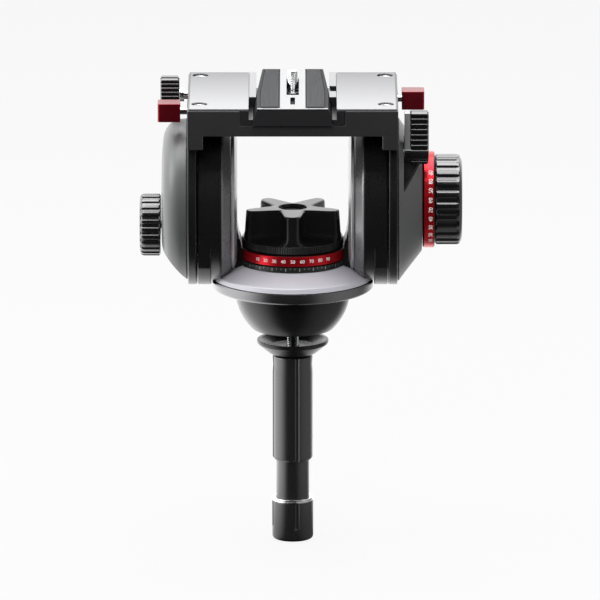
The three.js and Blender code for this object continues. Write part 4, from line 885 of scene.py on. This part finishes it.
for side, word in bothSides:
    sideArm = makeArm("side_arm_" + word, side)
    dress(sideArm, "cradle", "black_casting", blackPaint.material, "cradle_arm_" + word)
print("uprights and arms ready")


# Side covers.

leftCover = {"rim": 90.8, "depth": 22.6, "high": 42.0, "low": 65.0, "reach": 16.2}


def makeLeftCover():
    # A shallow drum with a rounded rim, cut by a slanted face below.
    depth, rim = leftCover["depth"], leftCover["rim"]
    corners = [
        (0, rim, 0), (69.4, rim, 0.3), (70.0, rim + 0.8, 0.5), (69.2, rim + 9.0, 4.0),
        (65.5, rim + 15.6, 5.0), (57.5, rim + 20.4, 6.0), (40.0, rim + depth - 0.4, 8.0), (0, rim + depth, 0),
    ]
    line = roundedLine(corners, 8)
    angle = np.linspace(0, turn, 220, endpoint=False)[None, :]
    grid = roundAxis(line[:, :1] + 0 * angle, -line[:, 1:], angle, "x", tiltAxis)
    cover = gridPiece("cover_left", grid)
    rise = (leftCover["low"] - leftCover["high"]) / leftCover["reach"]
    foot = tiltHeight - leftCover["high"]
    edge = [(-x, foot + rise * (x - rim - leftCover["reach"])) for x in (150.0, 60.0)]
    slope = [edge[0], (-150, -160), (-60, -160), edge[1]]
    wedge = prism("wedge", slope, "y", -90, 90)
    cutAway(cover, [wedge])
    return bevelEdges(cover, 1.4, 4, 20)


dress(makeLeftCover(), "cradle", "dark_casting", darkPaint.material, "side_cover_left")


def makeRightCover():
    # A cone towards the tilt drag, with a pocket for the lock lever.
    rim, depth = 90.8, 20.8
    corners = [
        (0, rim, 0), (69.9, rim, 0.3), (70.5, rim + 0.8, 0.5), (68.0, rim + 2.4, 1.5),
        (57.0, rim + 10.8, 3.0), (46.0, rim + 19.4, 1.5), (44.0, rim + depth, 0.6), (0, rim + depth, 0),
    ]
    cover = turned("cover_right", corners, "x", tiltAxis, 220)
    outline = [(95.5, 97.5), (118, 97.5 + 22.5 * 22.5 / 17), (118, 160), (95.5, 160)]
    pocket = prism("pocket", outline, "y", -90, -22.4)
    cutAway(cover, [pocket])
    return bevelEdges(cover, 0.8, 3, 30)


dress(makeRightCover(), "cradle", "dark_casting", darkPaint.material, "side_cover_right")
print("covers ready")


# Ribbed knobs and the tilt ring.


def ribbedKnob(
    name, radius, start, end, sign, centre, ribs=24, depth=1.5, rounding=3.2, recess=None, plain=1.6,
):
    # Ribs are half the pitch wide. They fade into the rounded outer edge, whose plain part has none,
    # and stop short of the inner end. recess is the radius and the depth of a dish in the outer face.
    perRib = 16
    angle = np.linspace(0, turn, ribs * perRib, endpoint=False)[None, :]
    length = end - start
    corners = [(0, start, 0), (radius - 1.4, start, 0)]
    corners += [(radius - 1.0, start + 0.7, 0.3), (radius, start + 1.2, 0.5)]
    corners += [(radius, start + length * share, 0) for share in (0.3, 0.5, 0.7)]
    corners += [(radius, end - plain - 0.4, 0)] if plain > rounding else []
    corners += [(radius, end - rounding * 1.2, 0), (radius - 0.5, end - rounding * 0.6, 0.8)]
    corners += [(radius - rounding, end, 1.8)]
    if recess:
        wide, floor = recess[0], end - recess[1]
        corners += [(wide, end, 0.5), (wide - 0.6, floor, 0.5), (wide * 0.45, floor, 1.0)]
        corners += [(wide * 0.4, floor + 0.8, 0.4), (0, floor + 0.8, 0)]
    else:
        corners += [(radius * 0.62, end - 0.2, 0.5), (radius * 0.6, end - 1.0, 0.3), (0, end - 1.0, 0)]
    line = roundedLine(corners, 4)
    r, place = line[:, :1], line[:, 1:]
    hump = ribHeight(angle * ribs / turn - 0.26, 0.5, 0.2)
    fade = 1 - smoothStep(end - plain, end - plain * 0.4, place)
    reach = smoothStep(start + 0.6, start + 1.4, place) * fade * (r > radius * 0.8)
    full = r - depth * (1 - hump) * reach
    return gridPiece(name, roundAxis(full, sign * place, angle, "x", centre), sharp=50)


tiltKnob = ribbedKnob("tilt_knob", 39.2, 122.9, 146.2, 1, tiltAxis, 24, 1.5, 4.2, (26.0, 2.0), 4.6)
dress(tiltKnob, "tilt_drag", "black_rubber", blackRubber.material, "tilt_drag_knob")
balanceAxis = (0, 0, 55.5)
shaftCorners = [(0, 100.2, 0), (3.5, 100.2, 0), (3.5, 116, 0), (0, 116, 0)]
balanceShaft = turned("balance_shaft", shaftCorners, "x", balanceAxis, 32)
balanceShaft.data.transform(Matrix.Diagonal((-1, 1, 1, 1)))
balanceShaft.data.flip_normals()
balanceGrip = ribbedKnob("balance_grip", 27.0, 114.0, 132.4, -1, balanceAxis, 24, 1.2, 3.4)
balanceKnob = gathered("balance_knob", [balanceGrip, balanceShaft])
dress(balanceKnob, "counterbalance", "black_rubber", blackRubber.material, "counterbalance_knob")

tiltRingRadius = 41.8
tiltRingCorners = [
    (0, 109.8, 0), (19.4, 109.8, 0), (19.4, 112.2, 0), (40.6, 112.2, 0.4), (tiltRingRadius, 113.4, 0.5),
    (tiltRingRadius, 121.4, 0.5), (40.6, 122.6, 0.4), (0, 122.6, 0),
]
tiltRing = turned("tilt_red_ring", tiltRingCorners, "x", tiltAxis, 160)
dress(tiltRing, "tilt_drag", "red_metal", tiltRed.material, "tilt_drag_ring")


def dialNumbers(name, words, size, spacing, first, place):
    # Flat numbers wrapped on a ring: a point (u, v) of the number goes to angle first + u / radius.
    parts = []
    for i, word in enumerate(words):
        curve = bpy.data.curves.new(name + word, "FONT")
        curve.body = word
        curve.size = size
        curve.align_x = "CENTER"
        curve.align_y = "CENTER"
        curve.extrude = 0.08
        written = placed(name + word, curve)
        mesh = shownMesh(written)
        bpy.data.objects.remove(written)
        faces = [list(f.vertices) for f in mesh.polygons]
        parts.append(meshPiece(name + word, place(vertexPlaces(mesh), first + i * spacing), faces))
        bpy.data.meshes.remove(mesh)
    return gathered(name, parts)


def onPanRing(flat, angle):
    around = angle + flat[:, 0] / panRingRadius
    reach = panRingRadius + flat[:, 2]
    return np.stack([reach * np.cos(around), reach * np.sin(around), 33.0 + flat[:, 1]], -1)


def onTiltRing(flat, angle):
    around = angle - flat[:, 0] / tiltRingRadius
    reach = tiltRingRadius + flat[:, 2]
    return np.stack([118.6 + flat[:, 1], reach * np.cos(around), tiltHeight + reach * np.sin(around)], -1)


whitePaint = Finish("white dial paint", (0.75, 0.74, 0.73), 0.45, 0.0, 0.4).grained(0.5, 0.1, 0.01, 0.04)
numbers = [str(10 * i) for i in range(1, 10)]
panDial = dialNumbers("pan_dial", numbers, 4.2, 0.178, -math.pi / 2 - 0.71, onPanRing)
dress(panDial, "pan_drag", "red_metal", whitePaint.material)
tiltDial = dialNumbers("tilt_dial", numbers, 4.8, -0.2, math.pi + 0.8, onTiltRing)
dress(tiltDial, "tilt_drag", "red_metal", whitePaint.material)
print("knobs and dials ready")


# Deck, panels, screws and rails.

deck = {
    "half": 90.5, "front": -75.0, "back": 75.0, "base": 150.0, "top": 172.5, "floor": 160.0, "channel": 44.8,
}


def makeDeck():
    outline = [
        (-deck["half"], deck["base"]), (deck["half"], deck["base"]), (deck["half"], deck["top"]),
        (deck["channel"], deck["top"]), (deck["channel"], deck["floor"]), (-deck["channel"], deck["floor"]),
        (-deck["channel"], deck["top"]), (-deck["half"], deck["top"]),
    ]
    parts = [prism("deck_body", outline, "y", deck["front"], deck["back"], 1.1, 3)]
    for x in (-1, 1):
        across = sorted((x * 77.0, x * deck["half"]))
        for start, end in ((deck["front"], -58.5), (58.5, deck["back"])):
            parts.append(block("skirt", (across[0], start, 138.0), (across[1], end, 151.5), 1.2))
    return gathered("deck_bridge", parts)


dress(makeDeck(), "cradle", "black_casting", deckPaintLit.material, "bridge_deck")

screwPlaces = [(-80.0, -53.0), (80.0, -53.0), (-80.0, 62.0), (80.0, 62.0)]


def sheetWithHoles(name, low, high, holes, radius, bottom, top, corner=1.5):
    # A flat curve with round holes, filled and given its thickness, then placed.
    curve = bpy.data.curves.new(name, "CURVE")
    curve.dimensions = "2D"
    curve.fill_mode = "BOTH"
    edge = 0.25 * mm
    curve.extrude = (top - bottom) / 2 * mm - edge
    curve.bevel_depth = edge
    curve.bevel_resolution = 2
    curve.offset = -edge
    places = ((low[0], low[1]), (high[0], low[1]), (high[0], high[1]), (low[0], high[1]))
    rings = [roundedLine([(*place, corner) for place in places], 5, True)]
    a = np.linspace(0, turn, 64, endpoint=False)
    for x, y in holes:
        rings.append(np.stack([x + radius * np.cos(-a), y + radius * np.sin(-a)], -1))
    for ring in rings:
        spline = curve.splines.new("POLY")
        spline.points.add(len(ring) - 1)
        flat = np.zeros((len(ring), 4))
        flat[:, :2] = ring * mm
        flat[:, 3] = 1
        spline.points.foreach_set("co", flat.ravel())
        spline.use_cyclic_u = True
    drawn = placed(name, curve)
    mesh = shownMesh(drawn)
    points = vertexPlaces(mesh) / mm + np.array([0, 0, (top + bottom) / 2])
    faces = [list(f.vertices) for f in mesh.polygons]
    bpy.data.objects.remove(drawn)
    bpy.data.meshes.remove(mesh)
    return meshPiece(name, points, faces)


for side, word in bothSides:
    across = sorted((side * 37.8, side * 89.5))
    holes = [p for p in screwPlaces if p[0] * side > 0]
    sheet = sheetWithHoles("panel_" + word, (across[0], -74.0), (across[1], 74.0), holes, 7.0, 172.8, 174.0)
    dress(sheet, "cradle", "panel_metal", panelSheet.material, "deck_panel_" + word)

for i, (x, y) in enumerate(screwPlaces):
    corners = [
        (0, 160.8, 0), (2.5, 160.8, 0.3), (2.5, 169.8, 0), (5.5, 169.8, 0), (5.5, 172.8, 0.6),
        (3.0, 172.8, 0.2), (2.6, 172.3, 0.1), (2.4, 171.3, 0.1), (0, 171.1, 0),
    ]
    head = turned("deck_bolt_%d" % (i + 1), corners, centre=(x, y, 0))
    dress(head, "cradle", "steel", steelFinish.material, "deck_screw_%d" % (i + 1))


def makeRail(name, side):
    # The rail's section has the dovetail inside and a ledge for the panel outside.
    section = [(35.0, 160.3), (44.5, 160.3), (44.5, 172.5), (37.5, 172.5), (37.5, 174.0), (31.5, 174.0)]
    rail = prism(name, [(side * a, b) for a, b in section], "y", -75.0, 75.0)
    tools = [([-80.0, -25.0], 165.0)]
    if side > 0:
        tools.append(([-2.0, 19.0], 165.0))
    cutters = []
    for (start, end), floor in tools:
        across = sorted((side * 25.0, side * 37.8))
        cutters.append(block("notch", (across[0], start, floor), (across[1], end, 180.0), 0))
    cutAway(rail, cutters)
    return bevelEdges(rail, 0.5, 2)


for side, word in bothSides:
    rail = makeRail("rail_" + word, side)
    dress(rail, "cradle", "black_casting", railBlack.material, "plate_rail_" + word)

jawSection = [(-36.2, 160.3), (-44.0, 160.3), (-44.0, 169.7), (-33.7, 169.7)]
jaw = prism("jaw_bar", jawSection, "y", 16.0, 58.0, 0.5, 2)
dress(jaw, "plate_jaw", "steel", steelFinish.material, "clamp_jaw")
print("deck ready")


# Camera plate, pads and screw.


def makePlate():
    # Dovetail section. Its half width narrows by 4.5 mm over the back 95 mm.
    corners = [(-34.5, 160.6, 0.5), (34.5, 160.6, 0.5), (30.5, 175.6, 0.9), (-30.5, 175.6, 0.9)]
    section = roundedLine(corners, 3, True)
    places = np.array([-80.0, -15.0, 80.0])
    narrow = np.array([0.0, 0.0, 4.5])
    rows = []
    for place, less in zip(places, narrow):
        x = section[:, 0] * (1 - less / 33.0)
        rows.append(np.stack([x, np.full(len(x), place), section[:, 1]], -1))
    plate = gridPiece("plate_body", np.array(rows))
    slot = block("slot", (-5.3, -24.0, 150.0), (5.3, 42.0, 190.0), 0)
    channel = block("channel", (-10.8, -34.0, 150.0), (10.8, 52.0, 167.6), 0)
    small = block("small", (-2.0, -62.0, 172.6), (2.0, -34.0, 190.0), 0)
    cutAway(plate, [slot, channel, small])
    for x in (-1, 1):
        shape = [(11.1, -75.3), (28.0, -75.3), (28.0, -15.0), (24.6, 75.3), (11.1, 75.3)]
        well = prism("well", [(x * a, b) for a, b in shape], "z", 175.0, 190.0)
        cutAway(plate, [well])
    return bevelEdges(plate, 0.5, 2)


dress(makePlate(), "plate", "black_casting", plateBlack.material, "camera_plate")


def makePad(name, side):
    # Ribs run along the pad: height(u) = base + rib(u), and the outer edge follows the plate's taper.
    y = np.array([-75.0, -74.5, -15.0, 74.5, 75.0])[:, None]
    outer = np.array([26.9, 26.9, 26.9, 23.6, 23.6])[:, None]
    u = np.linspace(0, 1, 150)[None, :]
    inner = 12.3
    x = inner + (outer - inner) * u
    rib = ribHeight(u * 14.0, 0.62, 0.22) * smoothStep(0.0, 0.02, u) * smoothStep(0.0, 0.02, 1 - u)
    end = np.array([0.0, 1.0, 1.0, 1.0, 0.0])[:, None]
    top = 176.3 + 0.55 * rib * end
    full = np.stack([side * x, y + 0 * x, top], -1)
    under = full[:, ::-1].copy()
    under[..., 2] = 175.3
    return gridPiece(name, np.concatenate([full, under], 1), sharp=60)


for side, word in bothSides:
    pad = makePad("grip_pad_" + word, side)
    dress(pad, "plate", "grey_rubber", padRubber.material, "pad_" + word)

plugCorners = [
    (0, -79.2, 0), (5.2, -79.2, 0), (5.6, -79.9, 0.3), (4.4, -79.9, 0.3), (3.8, -79.3, 0.3), (0, -79.5, 0),
]
frontPlug = turned("plate_plug", plugCorners, "y", (0, 0, 167.3), 64)
dress(frontPlug, "plate", "black_casting", gripPlastic.material)

screwPlace = (0, 32.0, 0)
washerCorners = [(5.06, 165.4, 0.2), (10.2, 165.4, 0.4), (10.2, 167.0, 0.4), (5.06, 167.0, 0.2)]
washer = turned("screw_plate", washerCorners, centre=screwPlace, sides=48, closed=True)
dress(washer, "screw_carrier", "steel", steelFinish.material, "screw_washer")


def makeCameraScrew():
    # A thread above a round head that sits in the channel below.
    thread = threaded("thread", 4.76, 0.55, 1.5875, 165.2, 184.6, screwPlace, 40)
    corners = [(0, 161.1, 0), (8.4, 161.1, 0.4), (8.4, 165.1, 0.4), (0, 165.1, 0)]
    head = turned("head", corners, centre=screwPlace, sides=64)
    return gathered("plate_screw_body", [thread, head])


dress(makeCameraScrew(), "plate_screw", "silver", silverFinish.material, "camera_screw")
print("plate ready")


# Levers and tabs.


def ribbedBar(name, thick, low, high, ribs, ends, centreY, depth=1.1, stepped=False):
    # An upright bar along x whose front and back are ribbed: half thickness = thick/2 - depth * (1 - rib(z)).
    # Stepped ribs slope inwards over their upper half: rib(z) = 1 - (share - 0.42) / 0.55.
    z = np.linspace(low, high, ribs * 12 + 1)
    share = (z - low) / (high - low) * ribs
    rib = 1 - np.clip((share % 1.0 - 0.42) / 0.55, 0, 1) if stepped else ribHeight(share, 0.55, 0.22)
    cap = np.minimum(smoothStep(0, 3.0, z - low), smoothStep(0, 3.0, high - z))
    half = (thick / 2 - depth * (1 - rib)) * (0.62 + 0.38 * cap ** 0.5)
    outline = np.vstack([np.stack([half, z], -1), np.stack([-half, z], -1)[::-1]])
    middle = (low + high) / 2
    start, end = ends
    steps = [(start, 0.86), (start + 0.5, 0.94), (start + 1.4, 1.0)]
    steps += [(end - 1.4, 1.0), (end - 0.5, 0.94), (end, 0.86)]
    rows = []
    for place, grow in steps:
        inset = (1 - grow) * 12
        scaled = outline.copy()
        scaled[:, 0] = np.sign(outline[:, 0]) * np.maximum(np.abs(outline[:, 0]) - inset, 0.3)
        scaled[:, 1] = middle + (outline[:, 1] - middle) * (1 - inset / (high - low) * 2)
        rows.append(np.stack([np.full(len(scaled), place), centreY + scaled[:, 0], scaled[:, 1]], -1))
    return gridPiece(name, np.array(rows), sharp=45)


lockAxis = (0, 37.0, 162.0)
lockGrip = ribbedBar("plate_lock_bar", 12.0, 145.5, 178.5, 9, (-114.5, -98.0), lockAxis[1], 1.9, True)
stemCorners = [(0, -98.5, 0), (4.0, -98.5, 0.3), (4.0, -44.8, 0.3), (0, -44.8, 0)]
lockStem = turned("plate_lock_stem", stemCorners, "x", lockAxis, 48)
collarCorners = [(4.0, -97.9, 0), (6.2, -97.9, 0.3), (6.2, -94.0, 0.3), (4.0, -94.0, 0)]
lockCollar = turned("plate_lock_collar", collarCorners, "x", lockAxis, 48, closed=True)
dress(lockGrip, "plate_lock", "black_rubber", blackRubber.material, "plate_lock_lever")
lockShaft = gathered("plate_lock_shaft", [lockStem, lockCollar])
dress(lockShaft, "plate_lock", "silver", silverFinish.material)

tiltLockAxis = (0, -34.0, 125.8)
tiltGrip = ribbedBar("tilt_lock_bar", 12.0, 117.4, 163.9, 10, (100.7, 117.0), tiltLockAxis[1])
hubCorners = [(0, 96.1, 0), (7.0, 96.1, 0.5), (7.0, 117.0, 0.8), (0, 117.0, 0)]
tiltHub = turned("tilt_lock_hub", hubCorners, "x", tiltLockAxis, 48)
tiltLockGrip = gathered("tilt_lock_grip", [tiltGrip, tiltHub])
dress(tiltLockGrip, "tilt_lock", "black_rubber", blackRubber.material, "tilt_lock_lever")
tiltStemCorners = [(0, 91.4, 0), (4.0, 91.4, 0), (4.0, 106.0, 0), (0, 106.0, 0)]
tiltStem = turned("tilt_lock_stem", tiltStemCorners, "x", tiltLockAxis, 32)
leverPlate = block("lever_plate", (96.1, -39.0, 128.0), (101.2, -29.0, 162.9), 0.8)
leverCarrier = gathered("tilt_lock_carrier", [tiltStem, leverPlate])
dress(leverCarrier, "tilt_lock", "steel", paleSatin.material)


def makeTab(name, solid, body, y):
    # A block with rounded outer corners, whose stem runs into the deck.
    low, high = (np.array(v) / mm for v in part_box(solid))
    side = 1 if high[0] > 0 else -1
    face, end = sorted((abs(low[0]), abs(high[0])))
    start = end - 19.5
    corners = [
        (start, y - 9.5, 0.6), (end, y - 9.5, 2.6), (end, y + 9.5, 2.6), (start, y + 9.5, 0.6),
    ]
    outline = roundedLine(corners, 6, True) * np.array([side, 1])
    bar = prism(name, outline, "z", 154.0, 170.0, 0.7, 3)
    dress(bar, body, "red_metal", tabRedShaded.material, solid)
    places = sorted((side * face, side * (start + 3)))
    corners = [(0, places[0], 0), (3.0, places[0], 0.3), (3.0, places[1], 0.3), (0, places[1], 0)]
    stem = turned(name + "_stem", corners, "x", (0, y, 162.0), 40)
    dress(stem, body, "steel", steelFinish.material)


makeTab("red_tab_left", "release_tab_left", "tab_left", -26.5)
makeTab("red_tab_right", "release_tab_right", "tab_right", 23.0)
print("levers and tabs ready")


# Inner solids keep their shape and get a finish.

innerFinishes = {
    steelFinish: (
        "pan_spindle", "thrust_bearing", "spindle_nut", "tilt_axle_right", "tilt_axle_left",
        "counterbalance_spring", "tilt_bearing_right", "tilt_bearing_left", "counterbalance_pinion",
    ),
    bronzeFinish: ("pan_drag_rotor", "tilt_rotor", "spring_gear"),
    darkPaint: ("spring_cup", "tilt_cartridge"),
    blackPlastic: ("tilt_brake_pad",),
}
for made, names in innerFinishes.items():
    for name in names:
        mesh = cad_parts[name].data
        mesh.materials.clear()
        mesh.materials.append(made.material)


# Stage, lights and camera.

floorHeight = -0.2246


def whiteRays(tree):
    # 1 for what the camera sees directly or through glass, and the mask of what shiny parts see.
    rays = tree.nodes.new("ShaderNodeLightPath")
    seen = Wire(tree, rays.outputs["Is Camera Ray"]) + Wire(tree, rays.outputs["Is Transmission Ray"])
    return seen.maths("MINIMUM", 1.0), Wire(tree, rays.outputs["Is Glossy Ray"])


def roundTheRoom(tree, output):
    # Brightness by direction: high towards the left and the back, some at the right, none in front.
    where = tree.nodes.new("ShaderNodeTexCoord")
    flat = node(
        tree, "ShaderNodeVectorMath", {"operation": "MULTIPLY"},
        {0: Wire(tree, where.outputs[output]), 1: (1.0, 1.0, 0.0)},
    )
    ahead = node(tree, "ShaderNodeVectorMath", {"operation": "NORMALIZE"}, {0: flat})
    parts = tree.nodes.new("ShaderNodeSeparateXYZ")
    tree.links.new(ahead.socket, parts.inputs[0])
    x, y = Wire(tree, parts.outputs[0]), Wire(tree, parts.outputs[1])
    left = ramp(tree, y * 0.35 - x * 0.94, 0.2, 1.0, 0.01, 3.0)
    right = ramp(tree, x - y * 0.2, 0.5, 1.1, 0.0, 0.6)
    back = ramp(tree, y, 0.3, 1.0, 0.0, 1.7)
    return left.maths("MAXIMUM", right).maths("MAXIMUM", back)


def makeStage():
    # A pale floor with the part's own soft shadow.
    size = 20.0
    mesh = bpy.data.meshes.new("floor")
    corners = [(-size, -size, floorHeight), (size, -size, floorHeight)]
    corners += [(size, size, floorHeight), (-size, size, floorHeight)]
    mesh.from_pydata(corners, [], [(0, 1, 2, 3)])
    placed("floor", mesh)
    paper = bpy.data.materials.new("pale floor")
    paper.use_nodes = True
    tree = paper.node_tree
    tree.nodes.clear()
    seen, glossy = whiteRays(tree)
    where = tree.nodes.new("ShaderNodeTexCoord")
    place = {0: Wire(tree, where.outputs["Object"])}
    far = node(tree, "ShaderNodeVectorMath", {"operation": "LENGTH"}, place, output=1)
    # What shiny parts see of the floor fades out close to the part, by distance from the middle: painted
    # shadow under the part in their reflections.
    bright = roundTheRoom(tree, "Object") * ramp(tree, far, 0.12, 0.35, 0.0, 1.0)
    lit = node(tree, "ShaderNodeBsdfDiffuse", {}, {"Color": (0.35, 0.35, 0.35, 1.0)})
    white = node(tree, "ShaderNodeEmission", {}, {"Color": (1, 1, 1, 1), "Strength": 1.0})
    mirrored = node(tree, "ShaderNodeEmission", {}, {"Color": (1, 1, 1, 1), "Strength": bright})
    shiny = node(tree, "ShaderNodeMixShader", {}, {0: glossy, 1: lit, 2: mirrored})
    mix = node(tree, "ShaderNodeMixShader", {}, {0: seen * 0.9, 1: shiny, 2: white})
    out = tree.nodes.new("ShaderNodeOutputMaterial")
    tree.links.new(mix.socket, out.inputs["Surface"])
    mesh.materials.append(paper)


def makeWorld():
    # White to the camera, brighter or darker by direction to shiny parts, and dim to all else.
    world = bpy.data.worlds.new("studio")
    bpy.context.scene.world = world
    world.use_nodes = True
    tree = world.node_tree
    tree.nodes.clear()
    seen, glossy = whiteRays(tree)
    bright = roundTheRoom(tree, "Generated")
    dim = node(tree, "ShaderNodeBackground", {}, {"Color": (1, 1, 1, 1), "Strength": 0.35})
    mirrored = node(tree, "ShaderNodeBackground", {}, {"Color": (1, 1, 1, 1), "Strength": bright})
    white = node(tree, "ShaderNodeBackground", {}, {"Color": (1, 1, 1, 1), "Strength": 1.0})
    shiny = node(tree, "ShaderNodeMixShader", {}, {0: glossy, 1: dim, 2: mirrored})
    mix = node(tree, "ShaderNodeMixShader", {}, {0: seen, 1: shiny, 2: white})
    out = tree.nodes.new("ShaderNodeOutputWorld")
    tree.links.new(mix.socket, out.inputs["Surface"])


def lamp(name, place, aim, width, height, power, mirrored=True):
    light = bpy.data.lights.new(name, "AREA")
    light.shape = "RECTANGLE"
    light.size = width
    light.size_y = height
    light.energy = power
    held = placed(name, light)
    held.visible_glossy = mirrored
    held.location = place
    direction = np.array(aim) - np.array(place)
    held.rotation_euler = Vector(direction).to_track_quat("-Z", "Y").to_euler()


lamps = {
    "overhead": ((0.0, 0.25, 1.7), (0, 0.2, 0.05), 2.0, 2.2, 75.0),
    "high left": ((-1.7, -0.2, 1.0), (0, 0, 0.08), 1.0, 1.0, 16.0),
    "front fill": ((-0.3, -1.6, 1.1), (0, 0, 0.02), 1.0, 0.7, 22.0, False),
}

view = {"elevation": 13.5, "distance": 10.0, "target": (0.0063, 0.0, -0.0116), "lens": 693.0}


def makeCamera():
    data = bpy.data.cameras.new("camera")
    data.lens = view["lens"]
    data.sensor_width = 36.0
    data.clip_end = 100.0
    camera = placed("camera", data)
    up = math.radians(view["elevation"])
    target = np.array(view["target"])
    camera.location = target + view["distance"] * np.array([0, -math.cos(up), math.sin(up)])
    camera.rotation_euler = (math.radians(90.0 - view["elevation"]), 0, 0)
    bpy.context.scene.camera = camera


makeStage()
makeWorld()
for name, settings in lamps.items():
    lamp(name, *settings)
makeCamera()
bpy.context.scene.view_settings.view_transform = "Standard"
print("stage ready")
